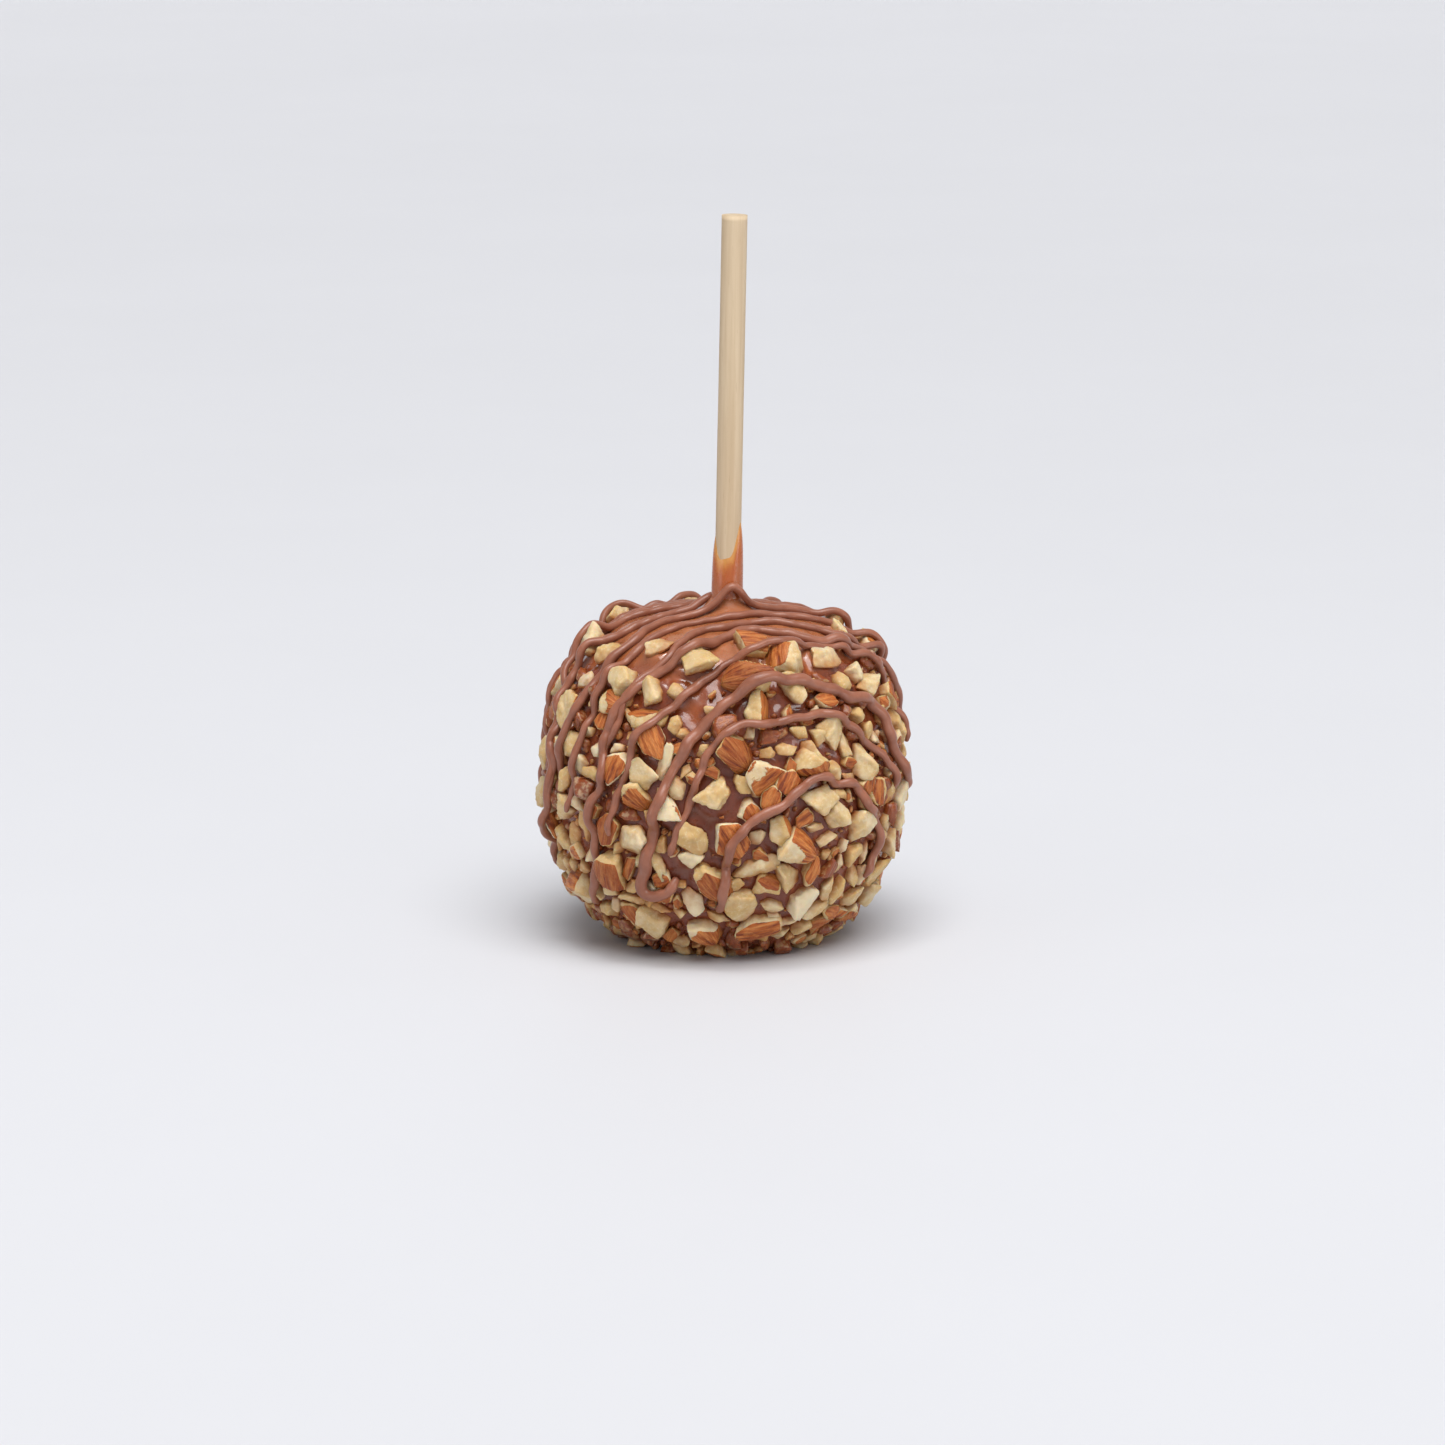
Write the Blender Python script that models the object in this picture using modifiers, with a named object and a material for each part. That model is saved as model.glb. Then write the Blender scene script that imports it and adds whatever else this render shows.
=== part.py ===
"""A caramel apple on a stick, rolled in chopped almonds and drizzled with milk chocolate.

Two sub-parts: the round wooden stick, and the coated apple with everything that is stuck
to it. Metres, +Z up. The origin is the middle of the flat foot that the apple stands on,
and the front faces -Y.
"""

import math

import bmesh
import bpy
import numpy
from mathutils import Matrix, Vector
from mathutils.bvhtree import BVHTree

MM = 0.001

# The caramel body, without what is stuck on it. Each half of its outline is a superellipse,
# and the upper one narrows a little more on the way up.
BODY_RADIUS = 43.5 * MM
WAIST_HEIGHT = 41.0 * MM        # where the body is widest, above the foot
CROWN_RISE = 40.0 * MM          # from the waist to the top
CROWN_POWER = 4.4               # 2 would be an ellipse, more is squarer
CROWN_TAPER = 0.2               # the share of its width that the crown loses besides
BELLY_DROP = 46.0 * MM          # from the waist to where the belly would close
BELLY_POWER = 2.15
BODY_SIDES = 32
RING_TURN = 10.0                # degrees of elevation between the outline's points
TAPER_POWER = 1.5               # how late on the way up that share is lost
SWELLS = ((2, 0.5, 0.5 * MM), (3, 2.0, 0.4 * MM), (5, 4.0, 0.25 * MM))  # waves, phase, depth
SWELLS_FROM = 0.5               # the share of the radius inside which there are none
SWELLS_FADE = 0.25              # over this share of it they grow
SWELLS_LOW = 0.5                # the share of the waist's height up to which they grow
FIELD_STEP = 0.1 * MM           # over which the outline's slope is taken
FOOT_STOCK = 1.0 * MM           # extra depth below the foot, which the floor cut takes off
FLOOR_DEPTH = 20.0 * MM         # of what the floor cut takes off

# The caramel that climbs the stick: a thin collar on a flaring foot, with an uneven lip.
COLLAR_RADIUS = 4.0 * MM
COLLAR_LIP_RADIUS = 3.7 * MM
COLLAR_BOTTOM = 85.5 * MM
COLLAR_TOP = 98.5 * MM
COLLAR_FLARE = 3.2 * MM         # how fast its foot spreads
FLARE_STEPS = (0.0, 0.8, 2.0, 3.8, 6.5, 10.5, 15.5)     # millimetres out from the collar
LIP_WAVES = ((1, -0.9, 2.2 * MM), (2, 3.4, 4.2 * MM))   # waves, phase, height

# The stick: a quarter-inch dowel that leans a little to the right.
STICK_RADIUS = 3.175 * MM
STICK_LENGTH = 140.0 * MM
STICK_TOP = 181.0 * MM
STICK_FOOT_SHIFT = 0.25 * MM    # how far right of the axis its lower end is
STICK_LEAN = math.radians(1.12)
STICK_CHAMFER = 0.35 * MM
CHAMFER_STEPS = 2
SHARP_EDGE = math.radians(35)   # edges that turn more than this stay sharp
STICK_SIDES = 32
CLEARANCE = 0.3 * MM

# A whole almond, which every piece of nut is broken out of.
ALMOND_HALF = numpy.array((11.5, 6.25, 4.25)) * MM      # half length, width and thickness
TIP_POWER = 0.62
BLUNT_POWER = 0.42
ALMOND_PEAK = 1.02              # the largest value of the two powers together
SKIN_INSET = 0.95               # how far out a piece's skin is, in shares of half its size
SKIN_ENDS = -0.05               # below this slope from its middle the skin is broken off
SKIN_FADE = 0.5                 # over this much of it the skin gives way
BURIED_SHARE = 0.23             # how much of a nut's height is sunk in the caramel
NUT_PLUMPNESS = 0.62            # a nut's height: this share of its width and a little more
NUT_LEAST_HEIGHT = 1.2 * MM
NUT_MOST_HEIGHT = 6.8 * MM
CORNER_GAIN = 1.12              # makes up for the few corners that a nut has here

# The broken faces of a nut, in a space where half its length, width and height are 1.
SIDE_BREAKS = (4, 7)            # how many there are round it, from the first to below the last
SIDE_JITTER = 0.3               # how unevenly they are spread, in steps
SIDE_SLOPES = (-0.45, 0.3)
TOP_BREAKS = 3
TOP_SLOPES = (0.1, 0.9)
BREAK_REACH = (0.75, 1.0)       # how far from the middle a broken face is
SKIN_SPARED = 0.9               # how much farther out it is on the skin's side
SPARED_FROM = 0.5               # the cosine to that side from which it is spared in full
TIP_SPARED = 1.6                # how many times as far out it is at an almond's tip
TIP_SIDE = 0.5                  # a face counts as at the tip beyond this cosine
LEAST_FACING = 1e-3             # a face turned away from a direction counts as very far
SIZE_PROBES = 400               # directions in which a nut is measured to fit its size

# The nuts that show most in front, and last the one that bulges most behind:
# azimuth and elevation seen from the waist's middle,
# length and width in millimetres, turn, skin angle, and whether one end is an almond's tip.
# Turn is anticlockwise as seen from outside. Skin angle 0 shows the skin, 180 the flesh.
FRONT_NUTS = (
    (9, 41, 13.5, 9.5, 185, 10, True), (27, 45, 12.5, 9.5, 70, 35, False),
    (14, 52, 8.5, 7.5, 175, 15, False), (3, 18, 10.5, 9.0, -45, 0, True),
    (12, 11, 11.0, 8.0, 35, -35, False), (30, 13, 10.0, 8.5, -50, -25, True),
    (11, 31, 9.5, 7.0, 80, -45, False), (-23, 21, 10.0, 7.0, -60, 10, False),
    (-28, 27, 9.0, 5.5, 10, 35, False), (-35, 12, 9.0, 6.5, 70, 0, False),
    (-27, 4, 9.0, 7.0, -50, 0, True), (-37, -8, 9.0, 6.5, 75, 0, False),
    (-17, 0, 9.0, 7.5, -60, 40, False), (-10, -8, 10.5, 7.0, -38, -110, False),
    (-38, -21, 10.0, 9.0, 80, 0, False), (2, -9, 11.5, 8.5, -60, -10, False),
    (-3, -23, 12.5, 9.0, -60, 0, True), (24, -13, 11.0, 9.0, -30, 40, True),
    (-8, -43, 11.0, 9.0, -60, 0, True), (20, 8, 7.5, 7.0, 60, 0, False),
    (52, 4, 8.5, 5.5, 80, 0, False), (-58, -32, 11.5, 9.5, 10, 50, False),
    (14, -41, 12.5, 7.0, 10, 0, False), (47, 45, 11.5, 6.0, -5, -140, False),
    (27, 37, 10.5, 8.5, 150, 180, False), (38, 22, 9.0, 7.5, -80, 160, True),
    (51, 12, 9.5, 8.5, 50, 180, False), (-2, 5, 11.0, 8.5, 10, 180, False),
    (-24, 10, 10.0, 7.0, -60, -150, False), (-18, 14, 9.0, 5.0, 75, 180, True),
    (-28, -10, 10.0, 8.5, -70, 180, False), (-39, 38, 8.5, 8.0, 0, 180, False),
    (-25, 35, 8.5, 6.5, 80, 170, False), (-14, 48, 12.5, 7.5, -65, 180, False),
    (-79, 45, 10.5, 9.0, 10, 180, False), (-57, 46, 7.5, 6.0, 20, -130, True),
    (39, -4, 8.5, 8.0, 0, 180, False), (50, -9, 8.5, 8.0, 0, 180, False),
    (31, 2, 9.0, 7.5, 20, 180, False), (11, -18, 12.5, 5.5, 18, 180, True),
    (21, -22, 9.5, 6.5, -40, 180, False), (28, -31, 10.5, 7.5, 35, 180, False),
    (-27, -40, 10.0, 8.0, 70, 180, False), (7, -31, 11.5, 9.0, -60, -140, False),
    (-57, 15, 8.5, 7.0, 75, 140, False), (-32, 51, 8.0, 5.5, 15, -140, True),
    (-122, 50, 9.0, 7.0, 30, 180, False), (-160, 54, 6.5, 5.5, 0, 180, False),
    (155, 48, 7.0, 6.0, 0, 180, False), (112, 50, 7.0, 5.5, 0, 180, False),
    (80, 51, 6.5, 5.0, 20, 180, False), (98, 41, 9.0, 7.5, 40, 20, False),
    (60, 38, 6.0, 5.5, 80, -60, False), (64, 33, 9.5, 7.0, -20, 180, False),
    (-66, 26, 10.5, 8.0, 80, -130, False), (-41, 31, 8.0, 6.0, -10, 35, True),
    (80, 28, 7.5, 6.5, 70, 0, False), (180, -2, 11.0, 8.5, 30, 20, False),
)
# Smaller ones between them, none of them pointed: the same values without the last.
FRONT_CHIPS = (
    (-43, 16, 7.5, 4.5, 30, 180), (-52, 10, 7.5, 5.5, 20, 180), (-59, 5, 7.0, 5.5, 80, 180),
    (-86, -5, 9.0, 6.5, 60, 180), (-58, -5, 8.0, 6.0, -40, 180), (-47, -9, 10.5, 4.0, -80, -150),
    (-63, -16, 10.5, 5.0, -30, 180), (-30, -3, 7.0, 4.0, -10, 180),
    (-53, -24, 5.5, 3.5, -45, 180), (-65, -29, 6.5, 3.0, 40, 180), (-31, -26, 7.5, 4.0, 15, -140),
    (-21, -18, 8.5, 4.0, -75, 180), (-19, -11, 5.5, 3.5, 70, 180), (-10, -15, 7.0, 5.0, 0, 180),
    (-20, -28, 8.5, 5.0, 25, 10), (-10, -30, 8.5, 5.0, -70, -120), (-34, -37, 7.5, 5.0, -65, 20),
    (-48, -38, 8.5, 5.5, 75, 180), (-16, -36, 5.0, 3.0, -10, 180), (-1, -37, 7.5, 4.0, -35, -150),
    (14, -25, 9.0, 5.5, -25, 45), (17, -33, 7.5, 4.0, -15, 180), (30, -21, 8.5, 5.5, 65, 0),
    (39, -29, 8.0, 4.0, -85, 50), (45, -29, 9.0, 5.5, 90, 180), (42, -21, 6.5, 3.0, -85, 180),
    (35, -11, 6.0, 4.5, 10, 180), (43, -14, 5.5, 3.0, -85, 180), (30, -7, 5.5, 3.5, -5, 180),
    (18, -7, 9.0, 6.5, -65, 50), (11, -8, 5.0, 4.0, 10, -130), (8, -1, 8.0, 6.5, -60, 15),
    (6, 8, 6.0, 5.0, -45, 180), (-3, 12, 5.5, 3.5, -15, 0), (-6, 19, 5.0, 3.5, 35, 180),
    (15, 18, 5.0, 3.5, -5, 180), (21, 19, 5.5, 4.0, -15, 180), (27, 23, 6.5, 4.0, -10, 180),
    (30, 18, 6.5, 4.0, -15, 180), (39, 10, 6.5, 4.5, -70, -150), (44, 17, 8.5, 4.0, -65, 180),
    (39, 3, 7.5, 3.5, -10, 180), (57, 1, 8.0, 6.0, 60, 30), (55, 7, 7.5, 5.0, -10, 180),
    (77, -4, 9.0, 7.0, 75, 180), (55, -20, 7.5, 4.0, -85, 180), (73, -18, 9.0, 7.0, -80, 170),
    (67, -31, 8.5, 6.5, 30, 150), (74, -37, 8.5, 7.0, -55, 180), (36, -44, 7.0, 5.0, 20, 180),
    (47, -39, 8.0, 4.5, -20, 10), (64, -42, 7.5, 5.5, -50, -30), (-31, -20, 7.5, 4.0, 65, 0),
    (-41, -30, 4.5, 3.5, 10, 90), (-16, 27, 5.0, 4.0, 65, 180), (-13, 24, 5.0, 3.5, 5, 180),
    (0, 26, 8.0, 6.5, 30, 0), (-4, 31, 4.5, 3.0, 0, 180), (9, 24, 4.0, 3.0, 65, 180),
    (16, 23, 6.5, 4.0, 5, 0), (-31, 22, 5.0, 3.0, 10, 180), (-51, 30, 5.0, 3.5, 75, 180),
    (-35, 33, 5.0, 3.0, 70, 180), (-43, 25, 6.0, 4.5, 80, 0), (-35, 18, 5.0, 4.0, 80, 180),
    (-45, 8, 6.5, 4.5, -10, 180), (-47, 3, 8.0, 6.0, -60, 180), (-43, -3, 6.0, 5.0, 60, 0),
    (-35, 3, 5.0, 3.0, 80, 180), (-24, -2, 5.0, 3.0, 80, 180), (-14, 19, 5.5, 3.5, 20, 20),
    (-12, 13, 4.5, 3.5, 60, 180), (39, 32, 6.5, 4.5, 0, 20), (53, 26, 7.0, 5.5, 0, 180),
    (47, 27, 5.0, 3.5, 80, 180), (57, 20, 6.5, 4.0, 75, 180), (68, 23, 5.5, 4.0, 80, 180),
    (82, 19, 8.0, 5.5, 80, 160), (90, 14, 8.0, 6.0, 60, 180), (61, 17, 6.0, 3.5, -30, 180),
    (22, 13, 7.0, 3.5, 80, 0), (15, 4, 8.0, 6.5, 60, 0), (45, 12, 5.0, 4.0, 0, 0),
    (44, 7, 6.5, 4.5, 30, -140), (33, 22, 5.5, 4.5, -45, 180), (21, 24, 5.0, 4.0, 60, 180),
    (26, -4, 7.0, 4.0, 30, 0), (68, -3, 7.0, 4.5, 80, 150), (83, -13, 7.5, 5.5, 70, 180),
    (59, -8, 5.0, 4.0, 0, 180), (-84, -21, 7.5, 5.5, 75, 180), (-53, -18, 6.0, 5.0, 10, 0),
    (-54, -13, 7.0, 3.5, 85, 180), (-47, -19, 6.5, 4.5, 80, 180), (-66, -25, 6.5, 5.0, 60, 160),
    (-50, -31, 7.0, 4.5, -50, 180), (-43, -36, 5.0, 3.5, 75, 180), (-33, -32, 8.0, 4.0, -25, 180),
    (-25, -28, 5.0, 4.0, 60, 180), (-27, -33, 5.5, 3.0, 75, 180), (-23, -35, 6.0, 3.0, -10, 180),
    (-26, -17, 6.5, 4.0, 45, 180), (-35, -14, 4.5, 4.0, 60, 180), (-20, -23, 5.5, 4.5, 30, 0),
    (-15, -25, 4.5, 3.0, 35, 180), (-46, -45, 6.5, 4.5, 30, -150), (-20, -51, 6.0, 4.5, 0, 150),
    (-22, -46, 5.5, 4.0, 60, 0), (12, -14, 5.5, 3.5, -20, 0), (4, -24, 6.0, 4.5, 60, 180),
    (48, -18, 8.0, 5.5, 75, 180), (50, -26, 6.5, 5.0, -60, 160), (38, -22, 5.5, 4.0, 60, 0),
    (62, -23, 8.0, 4.5, 75, 180), (74, -27, 6.0, 5.0, 30, 0), (56, -35, 8.0, 6.0, 60, -140),
    (55, -41, 6.5, 4.5, 30, 0), (37, -37, 9.0, 5.5, 55, 180), (42, -43, 8.0, 4.0, 15, 10),
    (26, -47, 5.5, 4.0, 60, 180), (26, -41, 6.5, 3.5, 10, 180), (20, -38, 5.5, 3.0, -35, 180),
)
FRONT_TILT = 0.2                # how far one of these may lean, as a slope
FRONT_ALONG = -0.1              # where along an almond it was, as a share of half its length
# Places that stay bare: azimuth, elevation, radius in millimetres.
BARE_PATCHES = ((-10, 31, 5.0), (-7, -4, 5.0), (-13, -21, 3.5), (5, 0, 3.0), (64, 25, 4.0))
# The rest of the nuts, largest first: how many, shortest, longest, the largest overlap as a
# share of the shortest, and the azimuth beyond which they lie.
NUT_SIZES = ((44, 7.2, 9.6, 0.0, 68), (120, 5.0, 7.2, 0.06, 0))
CANDIDATES = 24                 # places that are tried for each nut
BROWN_SHARE = 0.62              # the share of nuts that show their skin
SKIN_TURNS = (70, 170)          # degrees over which the skin turns, towards and away
POINTED_SHARE = 0.25
ALONG_RANGE = (-0.42, 0.28)     # where along an almond they were, as a share of half its length
WIDTH_SHARES = (0.62, 0.95)     # of the length
NUT_TOP_EDGE = 51.0             # elevation where the nuts end on the crown
NUT_TOP_WANDER = 5.0
NUT_TOP_WAVES = 2
NUT_TOP_PHASE = 40.0            # degrees
NUT_THIN_FROM = 36.0            # above this elevation they thin out
NUT_THINNING = 6.0 * MM         # the extra room that each takes at the top edge
NUT_BOTTOM_EDGE = -60.0
NUT_TILT = 0.28                 # how far a nut may lean, as a slope
NUT_SEED = 41
SEEDS_EACH = 1000               # seeds between one scatter and the next
TILT_SEED = 900000              # added for the lean of the nuts in front

# The drizzle: threads that run round one pole on the right of the front, a little low.
# A thread goes from one angle round the pole to another, 0 straight above it and positive
# to the left, and "away" is its distance from the pole at even steps, all in degrees.
POLE = (27.0, -12.0)            # azimuth and elevation
FRONT_THREADS = (
    {"start": 134, "end": -122, "radius": 1.15,
     "away": (33, 27, 25, 23, 20, 17, 17, 19, 22, 21, 25, 25, 29, 32, 31)},
    {"start": 97, "end": -84, "radius": 0.95,
     "away": (42, 40, 40, 43, 44, 40, 40, 41, 39, 41, 43, 44)},
    {"start": 114, "end": -84, "radius": 1.35, "curl": ((111, 42), (116, 45)),
     "away": (52, 49, 48, 48, 49, 50, 51, 52, 50, 49, 49, 53, 50, 49, 53)},
    {"start": 93, "end": -73, "radius": 0.95,
     "away": (61, 62, 62, 63, 61, 61, 62, 62, 62, 63, 66, 68, 70, 68, 66)},
    {"start": 124, "end": -78, "radius": 1.1,
     "away": (74, 69, 68, 70, 68, 73, 74, 73, 71, 72, 75, 71, 67, 70, 74, 76, 77, 79)},
    {"start": 71, "end": -79, "radius": 0.95,
     "away": (72, 72, 75, 75, 81, 81, 82, 77, 74, 78, 81, 83, 85)},
    {"start": 93, "end": -87, "radius": 0.95,
     "away": (81, 81, 82, 84, 85, 89, 90, 89, 89, 86, 84, 82, 82, 82, 82)},
    {"start": 91, "end": -89, "radius": 1.05, "perch": 4.0,
     "away": (90, 91, 90, 89, 90, 91, 97, 99, 96, 94, 97, 99, 95, 93, 94, 94, 94, 94)},
    {"start": 123, "end": -93, "radius": 1.05,
     "away": (102, 99, 93, 94, 99, 104, 104, 102, 105, 106, 107, 107, 106, 105, 104, 103, 102,
              101)},
    {"start": 96, "end": -109, "radius": 0.95,
     "away": (92, 94, 102, 110, 114, 120, 124, 123, 118, 113, 110, 108, 108, 107, 107, 107)},
)
# Behind, where the same threads go on: distance from the pole and half the angle covered.
BACK_THREADS = ((117, 112), (124, 100), (131, 118), (138, 96), (147, 124))
BACK_THREAD_RADIUS = 1.0
BACK_THREAD_SWAY = 2.5          # degrees nearer or farther along the way
BACK_THREAD_KNOTS = 9
KNOT_POINTS = 40                # points between two knots before a thread is spaced evenly
THREAD_SPACING = 0.5 * MM       # between the points that a thread is worked out on
THREAD_STEP = 11                # how many of those points one modelled segment spans
THREAD_ROUNDNESS = 1            # gives its section six sides
THREAD_BED = 0.4                # how far a thread sinks into what it lies on, in radii
THREAD_SPAN = 3                 # points to each side over which it rests on the highest one
THREAD_SAG = 1.7 * MM           # over this distance it evens out what it lies on
PERCH_SIDE = 1.4 * MM           # the thread that climbs the collar is highest right of its middle
PERCH_WIDTH = 3.5 * MM
THREAD_TAIL = 7.0 * MM          # over this length its ends grow thin
TAIL_RADIUS = 0.55              # the radius of its ends, in radii
PROBE = 9.0 * MM                # how far above the caramel the search for nuts starts
WANDERS = ((6.0 * MM, 0.12 * MM), (10.0 * MM, 0.15 * MM))       # wavelengths and widths
THREAD_SEED = 7
THREAD_SEEDS_EACH = 100

MOST_TRIANGLES = 11900          # what the fused solid is lightened to
FLAT_BELOW = 0.03 * MM          # what is lower than this is part of the foot
FAR = 90 * MM
HALVINGS = 24                   # in the search for a surface
TINY = 1e-7                     # a tenth of a micrometre, for merging
MIDDLE = numpy.array((0.0, 0.0, WAIST_HEIGHT))

CARAMEL = ("caramel", (0.33, 0.10, 0.035), 0.2)
NUT_SKIN = ("nut_skin", (0.36, 0.13, 0.05), 0.6)
NUT_FLESH = ("nut_flesh", (0.66, 0.49, 0.24), 0.55)
CHOCOLATE = ("chocolate", (0.25, 0.095, 0.055), 0.35)
WOOD = ("wood", (0.63, 0.47, 0.31), 0.7)


def unit(vectors):
    return vectors / numpy.linalg.norm(vectors, axis=-1, keepdims=True)


def smooth_step(value):
    value = numpy.clip(value, 0.0, 1.0)
    return value * value * (3 - 2 * value)


def directions_at(azimuths, elevations):
    """Unit vectors for angles in degrees: azimuth 0 is the front, positive the right."""
    across = numpy.radians(azimuths)
    up = numpy.radians(elevations)
    level = numpy.cos(up)
    return numpy.stack((numpy.sin(across) * level, -numpy.cos(across) * level, numpy.sin(up)), -1)


def stick_shift(heights):
    """How far right of the Z axis the leaning stick's own axis is at heights."""
    lower_end = STICK_TOP - STICK_LENGTH
    return STICK_FOOT_SHIFT + (heights - lower_end) * math.tan(STICK_LEAN)


# The caramel body as formulas.

def body_field(places):
    """Less than 1 inside the plain body, measured from the waist's middle, and 1 on it."""
    above = places[:, 2] > 0
    power = numpy.where(above, CROWN_POWER, BELLY_POWER)
    share = numpy.abs(places[:, 2]) / numpy.where(above, CROWN_RISE, BELLY_DROP)
    taper = numpy.where(above, 1 - CROWN_TAPER * numpy.minimum(share, 1) ** TAPER_POWER, 1)
    flat = numpy.hypot(places[:, 0], places[:, 1]) / BODY_RADIUS / taper
    return (flat ** power + share ** power) ** (1 / power)


def reach_of(field, start, directions):
    """The distance from a point inside a field to its surface along directions, by halving."""
    near = numpy.zeros(len(directions))
    far = numpy.full(len(directions), FAR)
    for _ in range(HALVINGS):
        half = (near + far) / 2
        inside = field(start + directions * half[:, None]) < 1
        near = numpy.where(inside, half, near)
        far = numpy.where(inside, far, half)
    return near


def swollen(points):
    """Points of the plain body moved out or in by its swells, but not at its foot."""
    radius = numpy.maximum(numpy.hypot(points[:, 0], points[:, 1]), TINY)
    around = numpy.arctan2(points[:, 0], -points[:, 1])
    swell = sum(depth * numpy.cos(waves * around + phase) for waves, phase, depth in SWELLS)
    swell = swell * smooth_step((radius / BODY_RADIUS - SWELLS_FROM) / SWELLS_FADE)
    swell = swell * smooth_step(points[:, 2] / WAIST_HEIGHT / SWELLS_LOW)
    grow = 1 + swell / radius
    return points * numpy.stack((grow, grow, numpy.ones(len(points))), 1)


def body_points(directions):
    """Where unit directions from the waist's middle come out of the body."""
    away = reach_of(body_field, numpy.zeros(3), directions)
    to_foot = WAIST_HEIGHT / numpy.maximum(-directions[:, 2], TINY)
    return swollen(MIDDLE + directions * numpy.minimum(away, to_foot)[:, None])


def body_normals(points):
    """Outward normals near points of the body: the way in which its field grows fastest."""
    local = points - MIDDLE
    steps = FIELD_STEP * numpy.eye(3)
    return unit(numpy.stack([body_field(local + step) - body_field(local - step)
                             for step in steps], 1))


def crown_height(radius):
    """The height of the crown at a distance from the axis."""
    up = numpy.array(((0.0, 0.0, 1.0),))
    return WAIST_HEIGHT + reach_of(body_field, numpy.array((radius, 0.0, 0.0)), up)[0]


# Mesh helpers.

def make_material(look):
    name, colour, roughness = look
    material = bpy.data.materials.new(name)
    material.use_nodes = True
    shader = material.node_tree.nodes["Principled BSDF"]
    shader.inputs["Base Color"].default_value = (*colour, 1)
    shader.inputs["Roughness"].default_value = roughness
    material.diffuse_color = (*colour, 1)
    return material


def new_object(name, data, collection):
    made = bpy.data.objects.new(name, data)
    collection.objects.link(made)
    return made


def new_collection(name):
    collection = bpy.data.collections.new(name)
    bpy.context.scene.collection.children.link(collection)
    return collection


def evaluated_mesh(source):
    """A new mesh with the object's modifiers applied."""
    graph = bpy.context.evaluated_depsgraph_get()
    return bpy.data.meshes.new_from_object(source.evaluated_get(graph))


def apply_modifiers(target):
    """Puts the result of an object's modifiers into its mesh and removes them."""
    mesh = evaluated_mesh(target)
    target.modifiers.clear()
    target.data = mesh


def boolean(target, operation, cutter=None, collection=None):
    """Joins or cuts the target by an object or by all that is in a collection."""
    modifier = target.modifiers.new(operation.lower(), "BOOLEAN")
    modifier.operation = operation
    modifier.solver = "EXACT"
    modifier.material_mode = "TRANSFER"
    if collection:
        modifier.operand_type = "COLLECTION"
        modifier.collection = collection
    else:
        modifier.object = cutter
    apply_modifiers(target)


def remove_all(objects):
    for item in list(objects):
        bpy.data.objects.remove(item)


# The stick.

def stick_matrix():
    """The place and the lean of the stick's middle."""
    middle = STICK_TOP - STICK_LENGTH / 2
    place = Matrix.Translation((stick_shift(middle), 0, middle))
    return place @ Matrix.Rotation(STICK_LEAN, 4, "Y")


def make_rod(name, radius, length, collection):
    bpy.ops.mesh.primitive_cylinder_add(vertices=STICK_SIDES, radius=radius, depth=length)
    rod = bpy.context.object
    rod.name = name
    rod.matrix_world = stick_matrix()
    for holder in rod.users_collection:
        holder.objects.unlink(rod)
    collection.objects.link(rod)
    return rod


def make_stick(collection):
    stick = make_rod("stick", STICK_RADIUS, STICK_LENGTH, collection)
    bevel = stick.modifiers.new("chamfer", "BEVEL")
    bevel.width = STICK_CHAMFER
    bevel.segments = CHAMFER_STEPS
    bevel.limit_method = "ANGLE"
    stick.data.shade_smooth()
    stick.data.set_sharp_from_angle(angle=SHARP_EDGE)
    stick.data.materials.append(make_material(WOOD))
    return stick


# The caramel.

def body_outline():
    """The outline as radius and height, from the collar's lip down to the foot."""
    points = [(0.0, COLLAR_TOP), (COLLAR_LIP_RADIUS, COLLAR_TOP)]
    foot_rise = COLLAR_BOTTOM - crown_height(COLLAR_RADIUS)
    for step in FLARE_STEPS:
        radius = COLLAR_RADIUS + step * MM
        rise = foot_rise * math.exp(-step * MM / COLLAR_FLARE)
        points.append((radius, crown_height(radius) + rise))
    radius, height = points[-1]
    first = math.degrees(math.atan2(height - WAIST_HEIGHT, radius)) - RING_TURN
    foot = BODY_RADIUS * (1 - (WAIST_HEIGHT / BELLY_DROP) ** BELLY_POWER) ** (1 / BELLY_POWER)
    last = -math.degrees(math.atan2(WAIST_HEIGHT, foot))
    turns = numpy.linspace(first, last, round((first - last) / RING_TURN))
    towards = directions_at(numpy.full(len(turns), 90), turns)
    rings = MIDDLE + towards * reach_of(body_field, numpy.zeros(3), towards)[:, None]
    points += [(ring[0], ring[2]) for ring in rings]
    points.append((foot, -FOOT_STOCK))
    points.append((0.0, -FOOT_STOCK))
    return points


def turned_mesh(outline, sides):
    """The mesh that an outline gives when it turns once round the Z axis."""
    mesh = bpy.data.meshes.new("outline")
    edges = [(index, index + 1) for index in range(len(outline) - 1)]
    mesh.from_pydata([(radius, 0.0, height) for radius, height in outline], edges, [])
    turned = new_object("outline", mesh, bpy.context.scene.collection)
    screw = turned.modifiers.new("turn", "SCREW")
    screw.steps = sides
    screw.render_steps = sides
    screw.use_merge_vertices = True
    screw.merge_threshold = TINY
    result = evaluated_mesh(turned)
    bpy.data.objects.remove(turned)
    return result


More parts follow.
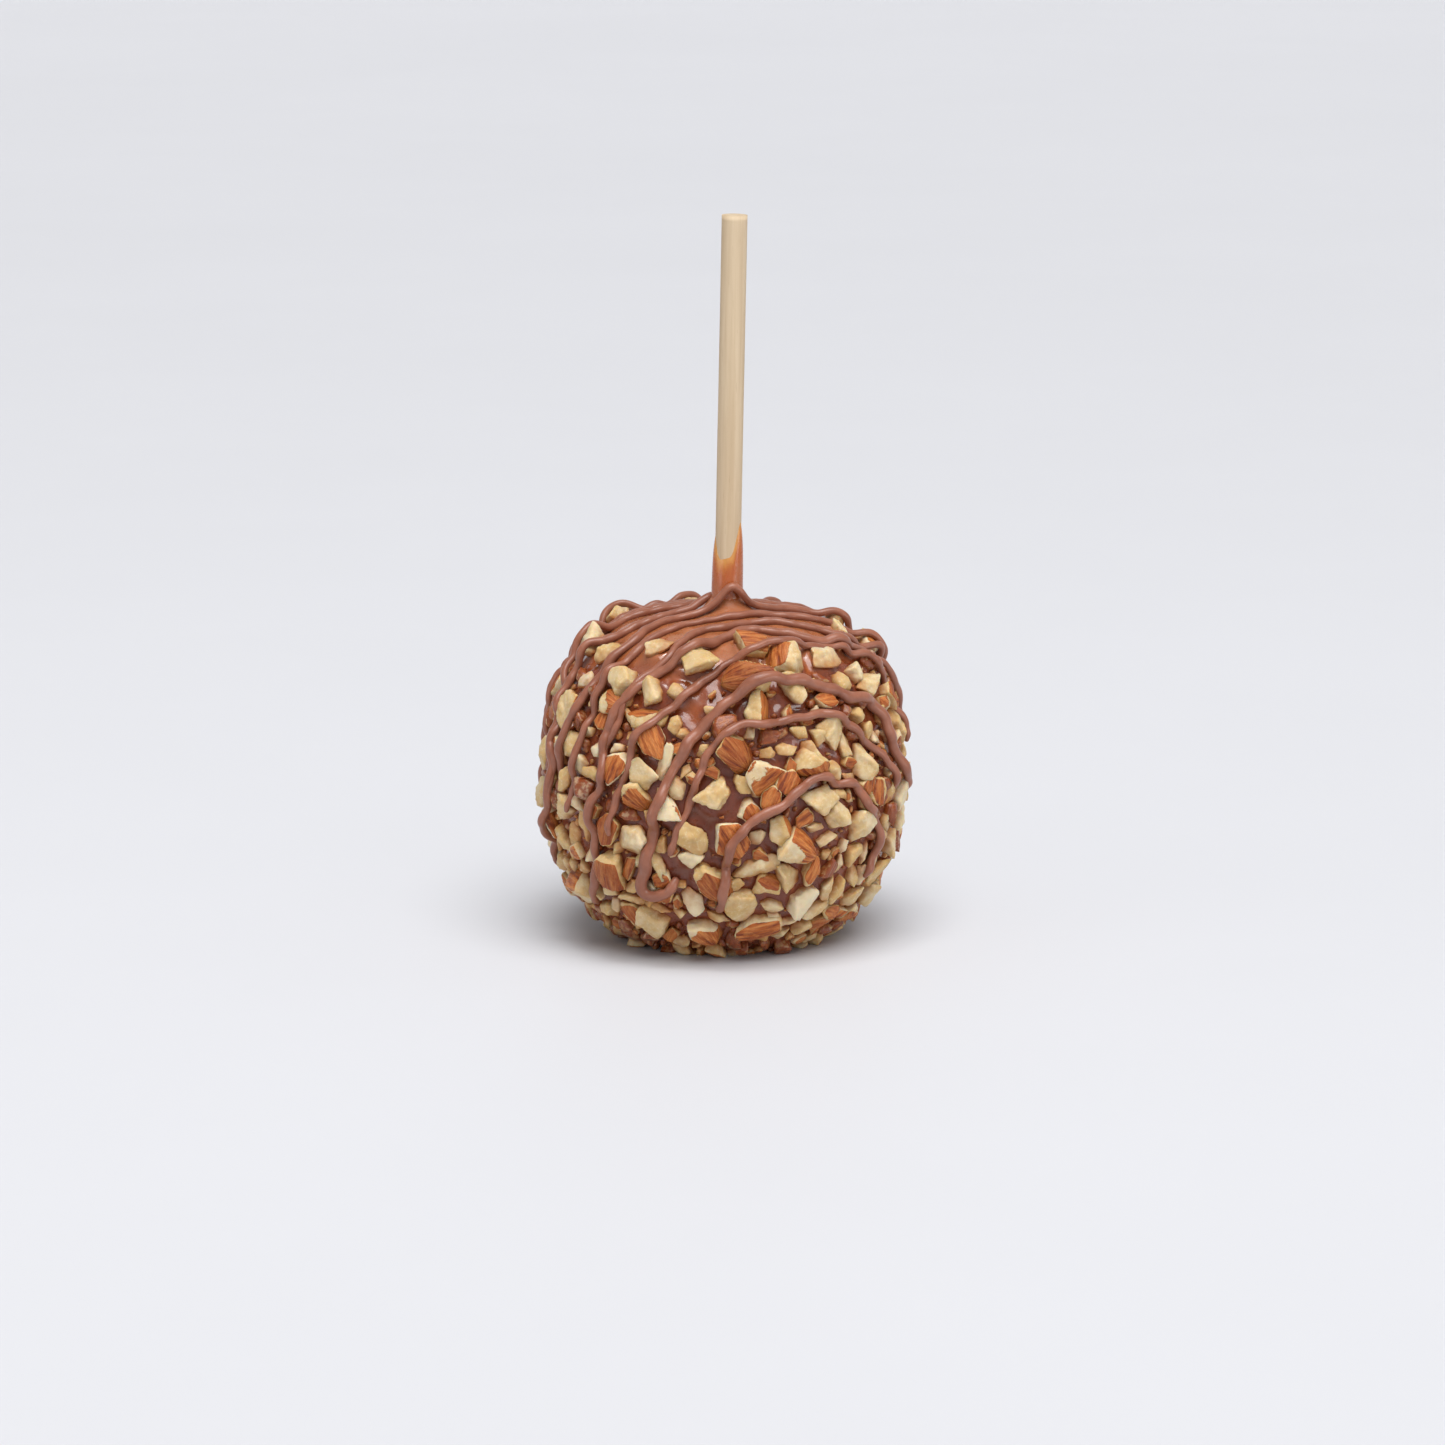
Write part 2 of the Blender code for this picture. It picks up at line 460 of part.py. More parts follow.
def make_caramel(collection):
    """The bare coated body: turned, swollen, with a leaning collar and an uneven lip."""
    mesh = turned_mesh(body_outline(), BODY_SIDES)
    points = numpy.array([vertex.co for vertex in mesh.vertices])
    points = swollen(points)
    around = numpy.arctan2(points[:, 0], -points[:, 1])
    off_axis = numpy.hypot(points[:, 0], points[:, 1]) > TINY
    collar = COLLAR_TOP - COLLAR_BOTTOM
    climb = smooth_step((points[:, 2] - COLLAR_BOTTOM) / collar)
    lip = sum(height * numpy.cos(waves * around + phase) for waves, phase, height in LIP_WAVES)
    lean = smooth_step((points[:, 2] - crown_height(BODY_RADIUS / 2)) / collar)
    points[:, 2] += climb * lip * off_axis
    points[:, 0] += lean * stick_shift(points[:, 2])
    mesh.vertices.foreach_set("co", points.ravel())
    mesh.update()
    mesh.materials.append(make_material(CARAMEL))
    return new_object("coated_apple", mesh, collection)


# The nuts.

def almond_field(places):
    """Less than 1 inside a whole almond that lies along X, and 1 on its skin."""
    along = numpy.clip(places[:, 0] / ALMOND_HALF[0], -1, 1)
    waist = (1 - along) ** TIP_POWER * (1 + along) ** BLUNT_POWER / ALMOND_PEAK
    waist = numpy.maximum(waist, TINY)
    return (places[:, 1] / ALMOND_HALF[1] / waist) ** 2 + (places[:, 2] / ALMOND_HALF[2] / waist) ** 2


def nut_height(width):
    return min(NUT_PLUMPNESS * width + NUT_LEAST_HEIGHT, NUT_MOST_HEIGHT)


def front_nut(number, row):
    azimuth, elevation, length, width, turn, skin, pointed = row
    seed = NUT_SEED * SEEDS_EACH + number
    tilt = numpy.random.RandomState(seed + TILT_SEED).uniform(-FRONT_TILT, FRONT_TILT, 2)
    return {"place": body_points(directions_at([azimuth], [elevation]))[0],
            "length": length * MM, "width": width * MM, "height": nut_height(width * MM),
            "turn": turn, "skin": skin, "pointed": pointed, "along": FRONT_ALONG,
            "tilt": tilt, "seed": seed}


def front_nuts():
    """The nuts and chips that are placed by hand, numbered one after another."""
    rows = FRONT_NUTS + tuple(row + (False,) for row in FRONT_CHIPS)
    return [front_nut(number, row) for number, row in enumerate(rows)]


def drawn_nuts(shortest, longest, draws):
    """Candidates for one nut of the scatter, from rows of ten numbers between 0 and 1."""
    azimuths = 360 * draws[:, 0] - 180
    low = math.sin(math.radians(NUT_BOTTOM_EDGE))
    high = math.sin(math.radians(NUT_TOP_EDGE + NUT_TOP_WANDER))
    elevations = numpy.degrees(numpy.arcsin(low + (high - low) * draws[:, 1]))
    lengths = (shortest + (longest - shortest) * draws[:, 2]) * MM
    narrow, wide = WIDTH_SHARES
    widths = lengths * (narrow + (wide - narrow) * draws[:, 3])
    return azimuths, elevations, lengths, widths


def clearances(azimuths, elevations, lengths, widths, nuts):
    """The room that each candidate has: negative where it lies over something."""
    places = body_points(directions_at(azimuths, elevations))
    others = numpy.array([nut["place"] for nut in nuts])
    sizes = numpy.array([nut["length"] + nut["width"] for nut in nuts]) / 4
    for azimuth, elevation, radius in BARE_PATCHES:
        others = numpy.vstack((others, body_points(directions_at([azimuth], [elevation]))))
        sizes = numpy.append(sizes, radius * MM)
    gaps = numpy.linalg.norm(places[:, None] - others[None], axis=2)
    room = numpy.min(gaps - sizes, axis=1) - (lengths + widths) / 4
    edge = NUT_TOP_EDGE + NUT_TOP_WANDER * numpy.sin(numpy.radians(NUT_TOP_WAVES * azimuths + NUT_TOP_PHASE))
    thin = numpy.clip((elevations - NUT_THIN_FROM) / (edge - NUT_THIN_FROM), 0, 1)
    room = room - NUT_THINNING * thin
    return numpy.where(elevations < edge, room, -FAR)


def scatter_nuts(sizes):
    """The nuts in front and then the drawn ones, largest first, each where most room is."""
    nuts = front_nuts()
    source = numpy.random.RandomState(NUT_SEED)
    for count, shortest, longest, overlap, beyond in sizes:
        for _ in range(count):
            draws = source.random_sample((CANDIDATES, 10))
            candidates = drawn_nuts(shortest, longest, draws)
            room = clearances(*candidates, nuts)
            room = numpy.where(numpy.abs(candidates[0]) < beyond, -FAR, room)
            best = int(numpy.argmax(room))
            if room[best] > -overlap * shortest * MM:
                azimuth, elevation, length, width = (values[best] for values in candidates)
                place = body_points(directions_at([azimuth], [elevation]))[0]
                nuts.append(scattered_nut(len(nuts), place, length, width, draws[best]))
    return nuts


def scattered_nut(number, place, length, width, draws):
    towards, away = SKIN_TURNS
    nearest, farthest = ALONG_RANGE
    skin = towards * (draws[6] - 0.5)
    if draws[5] >= BROWN_SHARE:
        skin = 180 + away * (draws[6] - 0.5)
    return {"place": place, "length": length, "width": width, "height": nut_height(width),
            "turn": 360 * draws[4], "skin": skin, "pointed": draws[7] < POINTED_SHARE,
            "along": nearest + (farthest - nearest) * draws[7],
            "tilt": (NUT_TILT * (2 * draws[8] - 1), NUT_TILT * (2 * draws[9] - 1)),
            "seed": NUT_SEED * SEEDS_EACH + number}


def nut_frame(nut):
    """The nut's own axes as rows: along it, across it and outwards."""
    outward = body_normals(nut["place"][None])[0]
    right = unit(numpy.cross((0, 0, 1), outward))
    up = numpy.cross(outward, right)
    turn = math.radians(nut["turn"])
    along = math.cos(turn) * right + math.sin(turn) * up
    across = numpy.cross(outward, along)
    leaning = unit(outward + nut["tilt"][0] * along + nut["tilt"][1] * across)
    along = unit(along - leaning * (along @ leaning))
    return numpy.array((along, numpy.cross(leaning, along), leaning)), outward


def nut_breaks(nut, skin_side):
    """The broken faces of a nut, round it, on top and below: their normals and how far out
    they are. Those on the skin's side, and at a tip, are farther out and cut nothing."""
    source = numpy.random.RandomState(nut["seed"])
    count = source.randint(*SIDE_BREAKS)
    turns = numpy.arange(count) + source.uniform(-SIDE_JITTER, SIDE_JITTER, count)
    turns = turns / count * 2 * math.pi + source.uniform(0, 2 * math.pi)
    slopes = source.uniform(*SIDE_SLOPES, count)
    around = numpy.stack((numpy.cos(turns), numpy.sin(turns), slopes), 1)
    ways = source.uniform(0, 2 * math.pi, TOP_BREAKS)
    slopes = source.uniform(*TOP_SLOPES, TOP_BREAKS)
    above = numpy.stack((slopes * numpy.cos(ways), slopes * numpy.sin(ways), 0 * ways + 1), 1)
    normals = unit(numpy.concatenate((around, above, ((0, 0, -1),))))
    reach = source.uniform(*BREAK_REACH, len(normals))
    reach = reach * (1 + SKIN_SPARED * smooth_step(normals @ skin_side / SPARED_FROM))
    if nut["pointed"]:
        reach = numpy.where(normals[:, 0] > TIP_SIDE, TIP_SPARED * reach, reach)
    return normals, reach


def to_breaks(directions, size, normals, reach):
    """How far the nearest broken face is along directions."""
    return numpy.min(reach / numpy.maximum(directions / size @ normals.T, LEAST_FACING), axis=1)


def to_skin(nut, half, skin_side, directions):
    """How far the almond's skin is along directions; on the far side it is broken off."""
    skin = math.radians(nut["skin"])
    edge_side = numpy.array((0, math.cos(skin), -math.sin(skin)))
    start = numpy.zeros(3)
    start[0] = ALMOND_HALF[0] - half[0] if nut["pointed"] else nut["along"] * ALMOND_HALF[0]
    waist = reach_of(almond_field, start, numpy.array(((0.0, 0.0, 1.0),)))[0]
    start[2] = waist - SKIN_INSET * numpy.linalg.norm(skin_side * half)
    turned = directions @ numpy.array(((1, 0, 0), edge_side, skin_side)).T
    gone = smooth_step((SKIN_ENDS - turned[:, 2]) / SKIN_FADE)
    return reach_of(almond_field, start, turned) * (1 + gone)


def probe_directions():
    """Directions spread evenly over a sphere, along a golden spiral."""
    steps = numpy.arange(SIZE_PROBES) + 0.5
    heights = 1 - 2 * steps / SIZE_PROBES
    turns = steps * math.pi * (3 - math.sqrt(5))
    level = numpy.sqrt(1 - heights ** 2)
    return numpy.stack((level * numpy.cos(turns), level * numpy.sin(turns), heights), 1)


def nut_shape(nut, directions):
    """How far a nut's surface is from its centre, and which of it is skin."""
    half = numpy.array((nut["length"], nut["width"], nut["height"])) / 2
    skin = math.radians(nut["skin"])
    skin_side = numpy.array((0, math.sin(skin), math.cos(skin)))
    normals, reach = nut_breaks(nut, skin_side)
    probes = unit(probe_directions() * half)
    nearest = numpy.minimum(to_breaks(probes, half, normals, reach),
                            to_skin(nut, half, skin_side, probes))
    extent = numpy.abs(probes * nearest[:, None]).max(0)
    broken = to_breaks(directions, half * half / extent, normals, reach)
    whole = to_skin(nut, half, skin_side, directions)
    return numpy.minimum(broken, whole), whole < broken


def make_nut(nut, materials, collection):
    """One piece of nut, from an icosahedron whose corners go out to its surface."""
    mesh = bpy.data.meshes.new("nut")
    ball = bmesh.new()
    end_on = Matrix.Rotation(math.radians(90), 4, "Y")
    bmesh.ops.create_icosphere(ball, subdivisions=1, radius=1, matrix=end_on)
    half = numpy.array((nut["length"], nut["width"], nut["height"])) / 2
    directions = unit(numpy.array([corner.co for corner in ball.verts]) * half)
    radius, skin = nut_shape(nut, directions)
    axes, outward = nut_frame(nut)
    centre = nut["place"] + outward * nut["height"] * (0.5 - BURIED_SHARE)
    places = centre + CORNER_GAIN * radius[:, None] * directions @ axes
    for corner, place in zip(ball.verts, places):
        corner.co = place
    for face in ball.faces:
        share = sum(bool(skin[corner.index]) for corner in face.verts)
        face.material_index = 0 if share >= 2 else 1
    ball.to_mesh(mesh)
    ball.free()
    for material in materials:
        mesh.materials.append(material)
    return new_object("nut", mesh, collection)


def make_nuts(nuts, collection):
    materials = (make_material(NUT_SKIN), make_material(NUT_FLESH))
    return [make_nut(nut, materials, collection) for nut in nuts]


# The drizzle.

def all_threads():
    """The threads in front as given, and those behind by rule."""
    threads = list(FRONT_THREADS)
    source = numpy.random.RandomState(THREAD_SEED)
    for away, half in BACK_THREADS:
        sway = source.uniform(-BACK_THREAD_SWAY, BACK_THREAD_SWAY, BACK_THREAD_KNOTS)
        threads.append({"start": half, "end": -half, "radius": BACK_THREAD_RADIUS,
                        "away": tuple(away + sway)})
    return threads


def through_knots(knots):
    """A smooth curve through the knots, as points (a Catmull-Rom spline)."""
    padded = numpy.concatenate((2 * knots[:1] - knots[1:2], knots, 2 * knots[-1:] - knots[-2:-1]))
    step = (numpy.arange(KNOT_POINTS) / KNOT_POINTS)[:, None]
    pieces = []
    for before, first, second, after in zip(padded, padded[1:], padded[2:], padded[3:]):
        slope = (second - before) / 2
        next_slope = (after - first) / 2
        gap = second - first
        pieces.append(first + step * slope + step ** 2 * (3 * gap - 2 * slope - next_slope)
                      + step ** 3 * (slope + next_slope - 2 * gap))
    return numpy.concatenate(pieces + [knots[-1:]])


def pole_directions(angles, aways):
    """Unit vectors for angles round the pole and distances from it, in degrees."""
    pole = directions_at(*POLE)
    top = unit(numpy.array((0, 0, 1)) - pole * pole[2])
    left = numpy.cross(pole, top)
    turn = numpy.radians(angles)[:, None]
    away = numpy.radians(aways)[:, None]
    ring = numpy.cos(turn) * top + numpy.sin(turn) * left
    return numpy.cos(away) * pole + numpy.sin(away) * ring


def evenly_spaced(points):
    """The same line with a point every THREAD_SPACING, and the distances along it."""
    steps = numpy.linalg.norm(numpy.diff(points, axis=0), axis=1)
    run = numpy.concatenate(((0.0,), numpy.cumsum(steps)))
    along = numpy.arange(0, run[-1], THREAD_SPACING)
    return numpy.stack([numpy.interp(along, run, points[:, axis]) for axis in range(3)], 1), along


def evened(values):
    """Values along a thread, raised to the highest close by and then evened out."""
    reach = THREAD_SPAN
    padded = numpy.pad(values, reach, "edge")
    highest = numpy.max([padded[start:start + len(values)] for start in range(2 * reach + 1)], 0)
    width = int(2 * THREAD_SAG / THREAD_SPACING)
    weights = numpy.exp(-(numpy.arange(-width, width + 1) * THREAD_SPACING / THREAD_SAG) ** 2)
    return numpy.convolve(numpy.pad(highest, width, "edge"), weights / weights.sum(), "valid")


def clear_of_collar(points, radius):
    """Points near the stick moved out until a thread there only leans on the collar."""
    shift = numpy.zeros_like(points)
    shift[:, 0] = stick_shift(points[:, 2])
    local = points - shift
    flat = numpy.maximum(numpy.hypot(local[:, 0], local[:, 1]), TINY)
    nearest = COLLAR_RADIUS + (1 - THREAD_BED) * radius
    grow = numpy.where(local[:, 2] > WAIST_HEIGHT, numpy.maximum(nearest / flat, 1), 1)
    return shift + local * numpy.stack((grow, grow, numpy.ones(len(points))), 1)


def perch_rise(thread, points, along):
    """How much a thread stands off where it climbs the collar."""
    aside = numpy.abs(points[:, 0] - stick_shift(points[:, 2]) - PERCH_SIDE)
    near_stick = numpy.argmin(numpy.where(points[:, 1] < 0, aside, FAR))
    rise = numpy.exp(-((along - along[near_stick]) / PERCH_WIDTH) ** 2)
    return rise * thread.get("perch", 0) * MM


def thread_line(thread, number, tree):
    """The middle line of a thread as it lies on the nuts and the caramel, and its radii."""
    angles = numpy.linspace(thread["start"], thread["end"], len(thread["away"]))
    knots = numpy.stack((angles, thread["away"]), 1)
    if "curl" in thread:
        knots = numpy.concatenate((thread["curl"], knots))
    line = through_knots(knots)
    points, along = evenly_spaced(body_points(pole_directions(line[:, 0], line[:, 1])))
    normals = body_normals(points)
    source = numpy.random.RandomState(THREAD_SEED * THREAD_SEEDS_EACH + number)
    sway = sum(width * numpy.sin(2 * math.pi * (along / wave + source.random_sample()))
               for wave, width in WANDERS)
    points += numpy.cross(normals, numpy.gradient(points, THREAD_SPACING, axis=0)) * sway[:, None]
    radius = thread["radius"] * MM
    points = clear_of_collar(points, radius)
    lift = numpy.zeros(len(points))
    for index, (point, normal) in enumerate(zip(points, normals)):
        hit = tree.ray_cast(Vector(point + normal * PROBE), Vector(-normal))
        lift[index] = PROBE - hit[3] if hit[0] else 0.0
    tail = numpy.minimum(along, along[-1] - along) / THREAD_TAIL
    radii = radius * (TAIL_RADIUS + (1 - TAIL_RADIUS) * smooth_step(tail))
    height = evened(lift) + perch_rise(thread, points, along) + (1 - THREAD_BED) * radii
    return points + normals * height[:, None], radii


def make_thread(points, radii, material, collection):
    """A closed tube along the points, every few of them, with a radius at each."""
    chosen = numpy.linspace(0, len(points) - 1, round(len(points) / THREAD_STEP)).astype(int)
    curve = bpy.data.curves.new("thread", "CURVE")
    curve.dimensions = "3D"
    curve.bevel_depth = 1.0
    curve.bevel_resolution = THREAD_ROUNDNESS
    curve.use_fill_caps = True
    spline = curve.splines.new("POLY")
    spline.points.add(len(chosen) - 1)
    for point, index in zip(spline.points, chosen):
        point.co = (*points[index], 1)
        point.radius = radii[index]
    guide = new_object("thread", curve, collection)
    mesh = evaluated_mesh(guide)
    bpy.data.objects.remove(guide)
    ends = bmesh.new()
    ends.from_mesh(mesh)
    bmesh.ops.remove_doubles(ends, verts=ends.verts, dist=TINY)
    ends.to_mesh(mesh)
    ends.free()
    mesh.materials.clear()
    mesh.materials.append(material)
    return new_object("thread", mesh, collection)


def make_drizzle(tree, collection):
    material = make_material(CHOCOLATE)
    threads = []
    for number, thread in enumerate(all_threads()):
        points, radii = thread_line(thread, number, tree)
        threads.append(make_thread(points, radii, material, collection))
    return threads


# All of it together.

def surface_tree(objects):
    """One search tree over the faces of several objects."""
    points = []
    faces = []
    for item in objects:
        first = len(points)
        points += [item.matrix_world @ vertex.co for vertex in item.data.vertices]
        faces += [[first + corner for corner in face.vertices] for face in item.data.polygons]
    return BVHTree.FromPolygons(points, faces)


def cut_floor(target, collection):
    """Takes off all that is below the foot, so that the apple stands flat."""
    bpy.ops.mesh.primitive_cube_add(size=1)
    slab = bpy.context.object
    slab.name = "floor_cutter"
    size = Matrix.Diagonal((2 * FAR, 2 * FAR, FLOOR_DEPTH, 1))
    slab.matrix_world = Matrix.Translation((0, 0, -FLOOR_DEPTH / 2)) @ size
    for holder in slab.users_collection:
        holder.objects.unlink(slab)
    collection.objects.link(slab)
    boolean(target, "DIFFERENCE", cutter=slab)


def cut_bore(target, collection):
    """The hole that the stick sits in, with a little air all round."""
    bore = make_rod("bore_cutter", STICK_RADIUS + CLEARANCE, STICK_LENGTH + 2 * CLEARANCE, collection)
    boolean(target, "DIFFERENCE", cutter=bore)


def keep_largest_shell(target):
    """Drops loose scraps and fills sealed hollows: only the outer shell stays."""
    mesh = bmesh.new()
    mesh.from_mesh(target.data)
    bmesh.ops.remove_doubles(mesh, verts=mesh.verts, dist=TINY)
    bmesh.ops.dissolve_degenerate(mesh, edges=mesh.edges, dist=TINY)
    shells = []
    unseen = set(mesh.faces)
    while unseen:
        shell = []
        edge_of_search = [unseen.pop()]
        while edge_of_search:
            face = edge_of_search.pop()
            shell.append(face)
            for side in face.edges:
                for neighbour in side.link_faces:
                    if neighbour in unseen:
                        unseen.remove(neighbour)
                        edge_of_search.append(neighbour)
        shells.append(shell)
    shells.sort(key=len)
    for shell in shells[:-1]:
        bmesh.ops.delete(mesh, geom=shell, context="FACES")
    bmesh.ops.triangulate(mesh, faces=mesh.faces)
    mesh.to_mesh(target.data)
    mesh.free()


def lighten(target):
    """Takes out the slivers that joining leaves, down to a number of triangles."""
    decimate = target.modifiers.new("lighten", "DECIMATE")
    decimate.ratio = MOST_TRIANGLES / len(target.data.polygons)
    apply_modifiers(target)
    for vertex in target.data.vertices:
        if vertex.co.z < FLAT_BELOW:
            vertex.co.z = 0


def make_coated_apple(collection):
    toppings = new_collection("toppings")
    cutters = new_collection("cutters")
    apple = make_caramel(collection)
    nuts = make_nuts(scatter_nuts(NUT_SIZES), toppings)
    make_drizzle(surface_tree([apple] + nuts), toppings)
    boolean(apple, "UNION", collection=toppings)
    remove_all(toppings.objects)
    cut_floor(apple, cutters)
    cut_bore(apple, cutters)
    remove_all(cutters.objects)
    keep_largest_shell(apple)
    lighten(apple)
    return apple


def main():
    remove_all(bpy.data.objects)
    collection = new_collection("caramel_apple")
    make_coated_apple(collection)
    make_stick(collection)


main()
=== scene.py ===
import math

import bpy
import numpy as np
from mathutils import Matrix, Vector
from mathutils.bvhtree import BVHTree


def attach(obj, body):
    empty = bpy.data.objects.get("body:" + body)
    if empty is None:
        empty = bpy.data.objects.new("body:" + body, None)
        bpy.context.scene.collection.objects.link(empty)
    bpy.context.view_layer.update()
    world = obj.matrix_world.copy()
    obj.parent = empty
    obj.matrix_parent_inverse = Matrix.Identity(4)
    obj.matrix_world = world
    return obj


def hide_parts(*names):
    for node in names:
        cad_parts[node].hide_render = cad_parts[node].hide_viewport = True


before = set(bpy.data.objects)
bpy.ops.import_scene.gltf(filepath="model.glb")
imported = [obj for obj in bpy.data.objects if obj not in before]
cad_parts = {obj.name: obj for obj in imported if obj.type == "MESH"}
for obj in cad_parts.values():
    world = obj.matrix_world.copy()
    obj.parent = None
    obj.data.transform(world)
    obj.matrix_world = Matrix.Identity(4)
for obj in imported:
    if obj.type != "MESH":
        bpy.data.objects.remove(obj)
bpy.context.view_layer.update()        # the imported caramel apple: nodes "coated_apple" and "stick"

# A caramel apple on a stick: caramel, broken almonds, a milk chocolate drizzle and a dowel.
# Metres, +Z up, front at -Y. Azimuth 0 is the front and grows to the right.

mm = 0.001
rippleTurns = (0.6, 1.5)         # how often a wave of a ripple turns in one wavelength
rippleHeight = 1.3               # brings the sum of its waves to about -1 to 1


def unit(vectors):
    # every vector divided by its own length
    return vectors / np.linalg.norm(vectors, axis=-1, keepdims=True)


def smoothStep(value):
    # 0 below 0, 1 above 1, an S between
    value = np.clip(value, 0.0, 1.0)
    return value * value * (3 - 2 * value)


def directionsAt(azimuths, elevations):
    # unit vectors: level part turned by the azimuth from -Y to +X, upright part from the sine
    across = np.radians(azimuths)
    up = np.radians(elevations)
    level = np.cos(up)
    return np.stack((np.sin(across) * level, -np.cos(across) * level, np.sin(up)), -1)


def anglesRound(count):
    # even angles, once round
    return np.arange(count) / count * 2 * math.pi


def ripple(places, wavelength, source, waves=7):
    # a smooth uneven field, about -1 to 1: plane waves in random directions, added up
    ways = unit(source.normal(size=(waves, 3))) * source.uniform(*rippleTurns, (waves, 1))
    turns = places @ ways.T * (2 * math.pi / wavelength) + source.uniform(0, 2 * math.pi, waves)
    return np.sin(turns).sum(-1) / math.sqrt(waves) / rippleHeight


def loftFaces(rings, sides):
    # rings of points from the first pole to the second, one closed surface between two poles
    ring = np.arange(rings - 1)[:, None] * sides
    side = np.arange(sides)[None]
    nextSide = (side + 1) % sides
    nextRing = ring + sides
    quads = np.stack((ring + side, nextRing + side, nextRing + nextSide, ring + nextSide), -1)
    firstPole = rings * sides
    last = (rings - 1) * sides
    start = np.stack((np.full(sides, firstPole), side[0], nextSide[0]), -1)
    end = np.stack((np.full(sides, firstPole + 1), last + nextSide[0], last + side[0]), -1)
    return quads.reshape(-1, 4), np.concatenate((start, end))


def repeatFaces(faces, count, pointsEach):
    # the same faces for many like bodies that follow one another
    return (faces[None] + np.arange(count)[:, None, None] * pointsEach).reshape(-1, faces.shape[1])


def makePiece(name, points, quads, triangles, material, values=None):
    # a smooth mesh from points and faces, with the given values kept at its points
    mesh = bpy.data.meshes.new(name)
    mesh.vertices.add(len(points))
    mesh.vertices.foreach_set("co", points.astype(np.float32).ravel())
    corners = np.concatenate((quads.ravel(), triangles.ravel())).astype(np.int32)
    sizes = np.concatenate((np.full(len(quads), 4), np.full(len(triangles), 3))).astype(np.int32)
    mesh.loops.add(len(corners))
    mesh.loops.foreach_set("vertex_index", corners)
    mesh.polygons.add(len(sizes))
    mesh.polygons.foreach_set("loop_start", (np.cumsum(sizes) - sizes).astype(np.int32))
    mesh.update(calc_edges=True)
    mesh.validate()
    mesh.shade_smooth()
    for key, value in (values or {}).items():
        kind = "FLOAT_VECTOR" if value.ndim == 2 else "FLOAT"
        attribute = mesh.attributes.new(key, kind, "POINT")
        attribute.data.foreach_set("vector" if value.ndim == 2 else "value",
                                   value.astype(np.float32).ravel())
    mesh.materials.append(material)
    piece = bpy.data.objects.new(name, mesh)
    bpy.context.scene.collection.objects.link(piece)
    print(f"{name}: {2 * len(quads) + len(triangles)} triangles")
    return piece


body = {
    "radius": 43.5 * mm,
    "waistHeight": 41.0 * mm,
    "crownRise": 40.0 * mm,
    "crownPower": 4.4,           # 2 would be an ellipse, more is squarer
    "crownTaper": 0.2,           # how much narrower the crown's section gets towards its top
    "taperPower": 1.5,
    "bellyDrop": 46.0 * mm,
    "bellyPower": 2.15,
    "swells": ((2, 0.5, 0.5 * mm), (3, 2.0, 0.4 * mm), (5, 4.0, 0.25 * mm)),  # waves, phase, depth
    "swellFrom": 0.5,            # share of the radius where the swells begin, and their run-in
    "swellBand": 0.25,
    "footBand": 0.5,             # share of the waist's height over which they begin
    "normalStep": 0.1 * mm,
    "far": 90 * mm,              # further than any point of the form from its middle
    "halvings": 24,
    "least": 1e-7,               # keeps what is divided by from being zero
}

stick = {
    "radius": 3.175 * mm,
    "length": 140 * mm,
    "top": 181 * mm,
    "footShift": 0.25 * mm,
    "lean": math.radians(1.12),
    "rings": 150,
    "sides": 72,
    "rim": 0.3 * mm,             # rounding of the sawn ends
    "rimTurns": (10, 30, 50, 70, 90),
    "faceShares": (0.25, 0.5, 0.75, 0.93),       # rings on the sawn ends
    "fibreDepth": 0.006,         # share of the radius
    "fibreWidth": 1.6 * mm,
    "fibreStretch": 0.06,        # how much slower the fibres change along the stick
    "fibreWaves": 12,
    "seed": 5,
}


def stickShift(heights):
    # how far right of the Z axis the leaning stick's own axis is
    lowerEnd = stick["top"] - stick["length"]
    return stick["footShift"] + (heights - lowerEnd) * math.tan(stick["lean"])


def bodyField(places):
    # (flat distance / radius)^power + (height / rise)^power, all to the 1/power: 1 on the surface
    above = places[:, 2] > 0
    power = np.where(above, body["crownPower"], body["bellyPower"])
    share = np.abs(places[:, 2]) / np.where(above, body["crownRise"], body["bellyDrop"])
    narrower = body["crownTaper"] * np.minimum(share, 1) ** body["taperPower"]
    taper = np.where(above, 1 - narrower, 1)
    flat = np.hypot(places[:, 0], places[:, 1]) / body["radius"] / taper
    return (flat ** power + share ** power) ** (1 / power)


def reachOf(field, start, directions):
    # distance from a point inside a field to where the field is 1, by halving
    near = np.zeros(len(directions))
    far = np.full(len(directions), body["far"])
    for _ in range(body["halvings"]):
        half = (near + far) / 2
        inside = field(start + directions * half[:, None]) < 1
        near = np.where(inside, half, near)
        far = np.where(inside, far, half)
    return near


def swollen(points):
    # the plain form moved out or in by three slow waves around it, but not at its foot
    radius = np.maximum(np.hypot(points[:, 0], points[:, 1]), body["least"])
    around = np.arctan2(points[:, 0], -points[:, 1])
    swell = sum(depth * np.cos(waves * around + phase) for waves, phase, depth in body["swells"])
    swell = swell * smoothStep((radius / body["radius"] - body["swellFrom"]) / body["swellBand"])
    swell = swell * smoothStep(points[:, 2] / body["waistHeight"] / body["footBand"])
    grow = 1 + swell / radius
    return points * np.stack((grow, grow, np.ones(len(points))), 1)


def bodyPoints(directions):
    # where directions from the waist's middle come out of the body, the flat foot included
    away = reachOf(bodyField, np.zeros(3), directions)
    toFoot = body["waistHeight"] / np.maximum(-directions[:, 2], body["least"])
    middle = np.array((0, 0, body["waistHeight"]))
    return swollen(middle + directions * np.minimum(away, toFoot)[:, None])


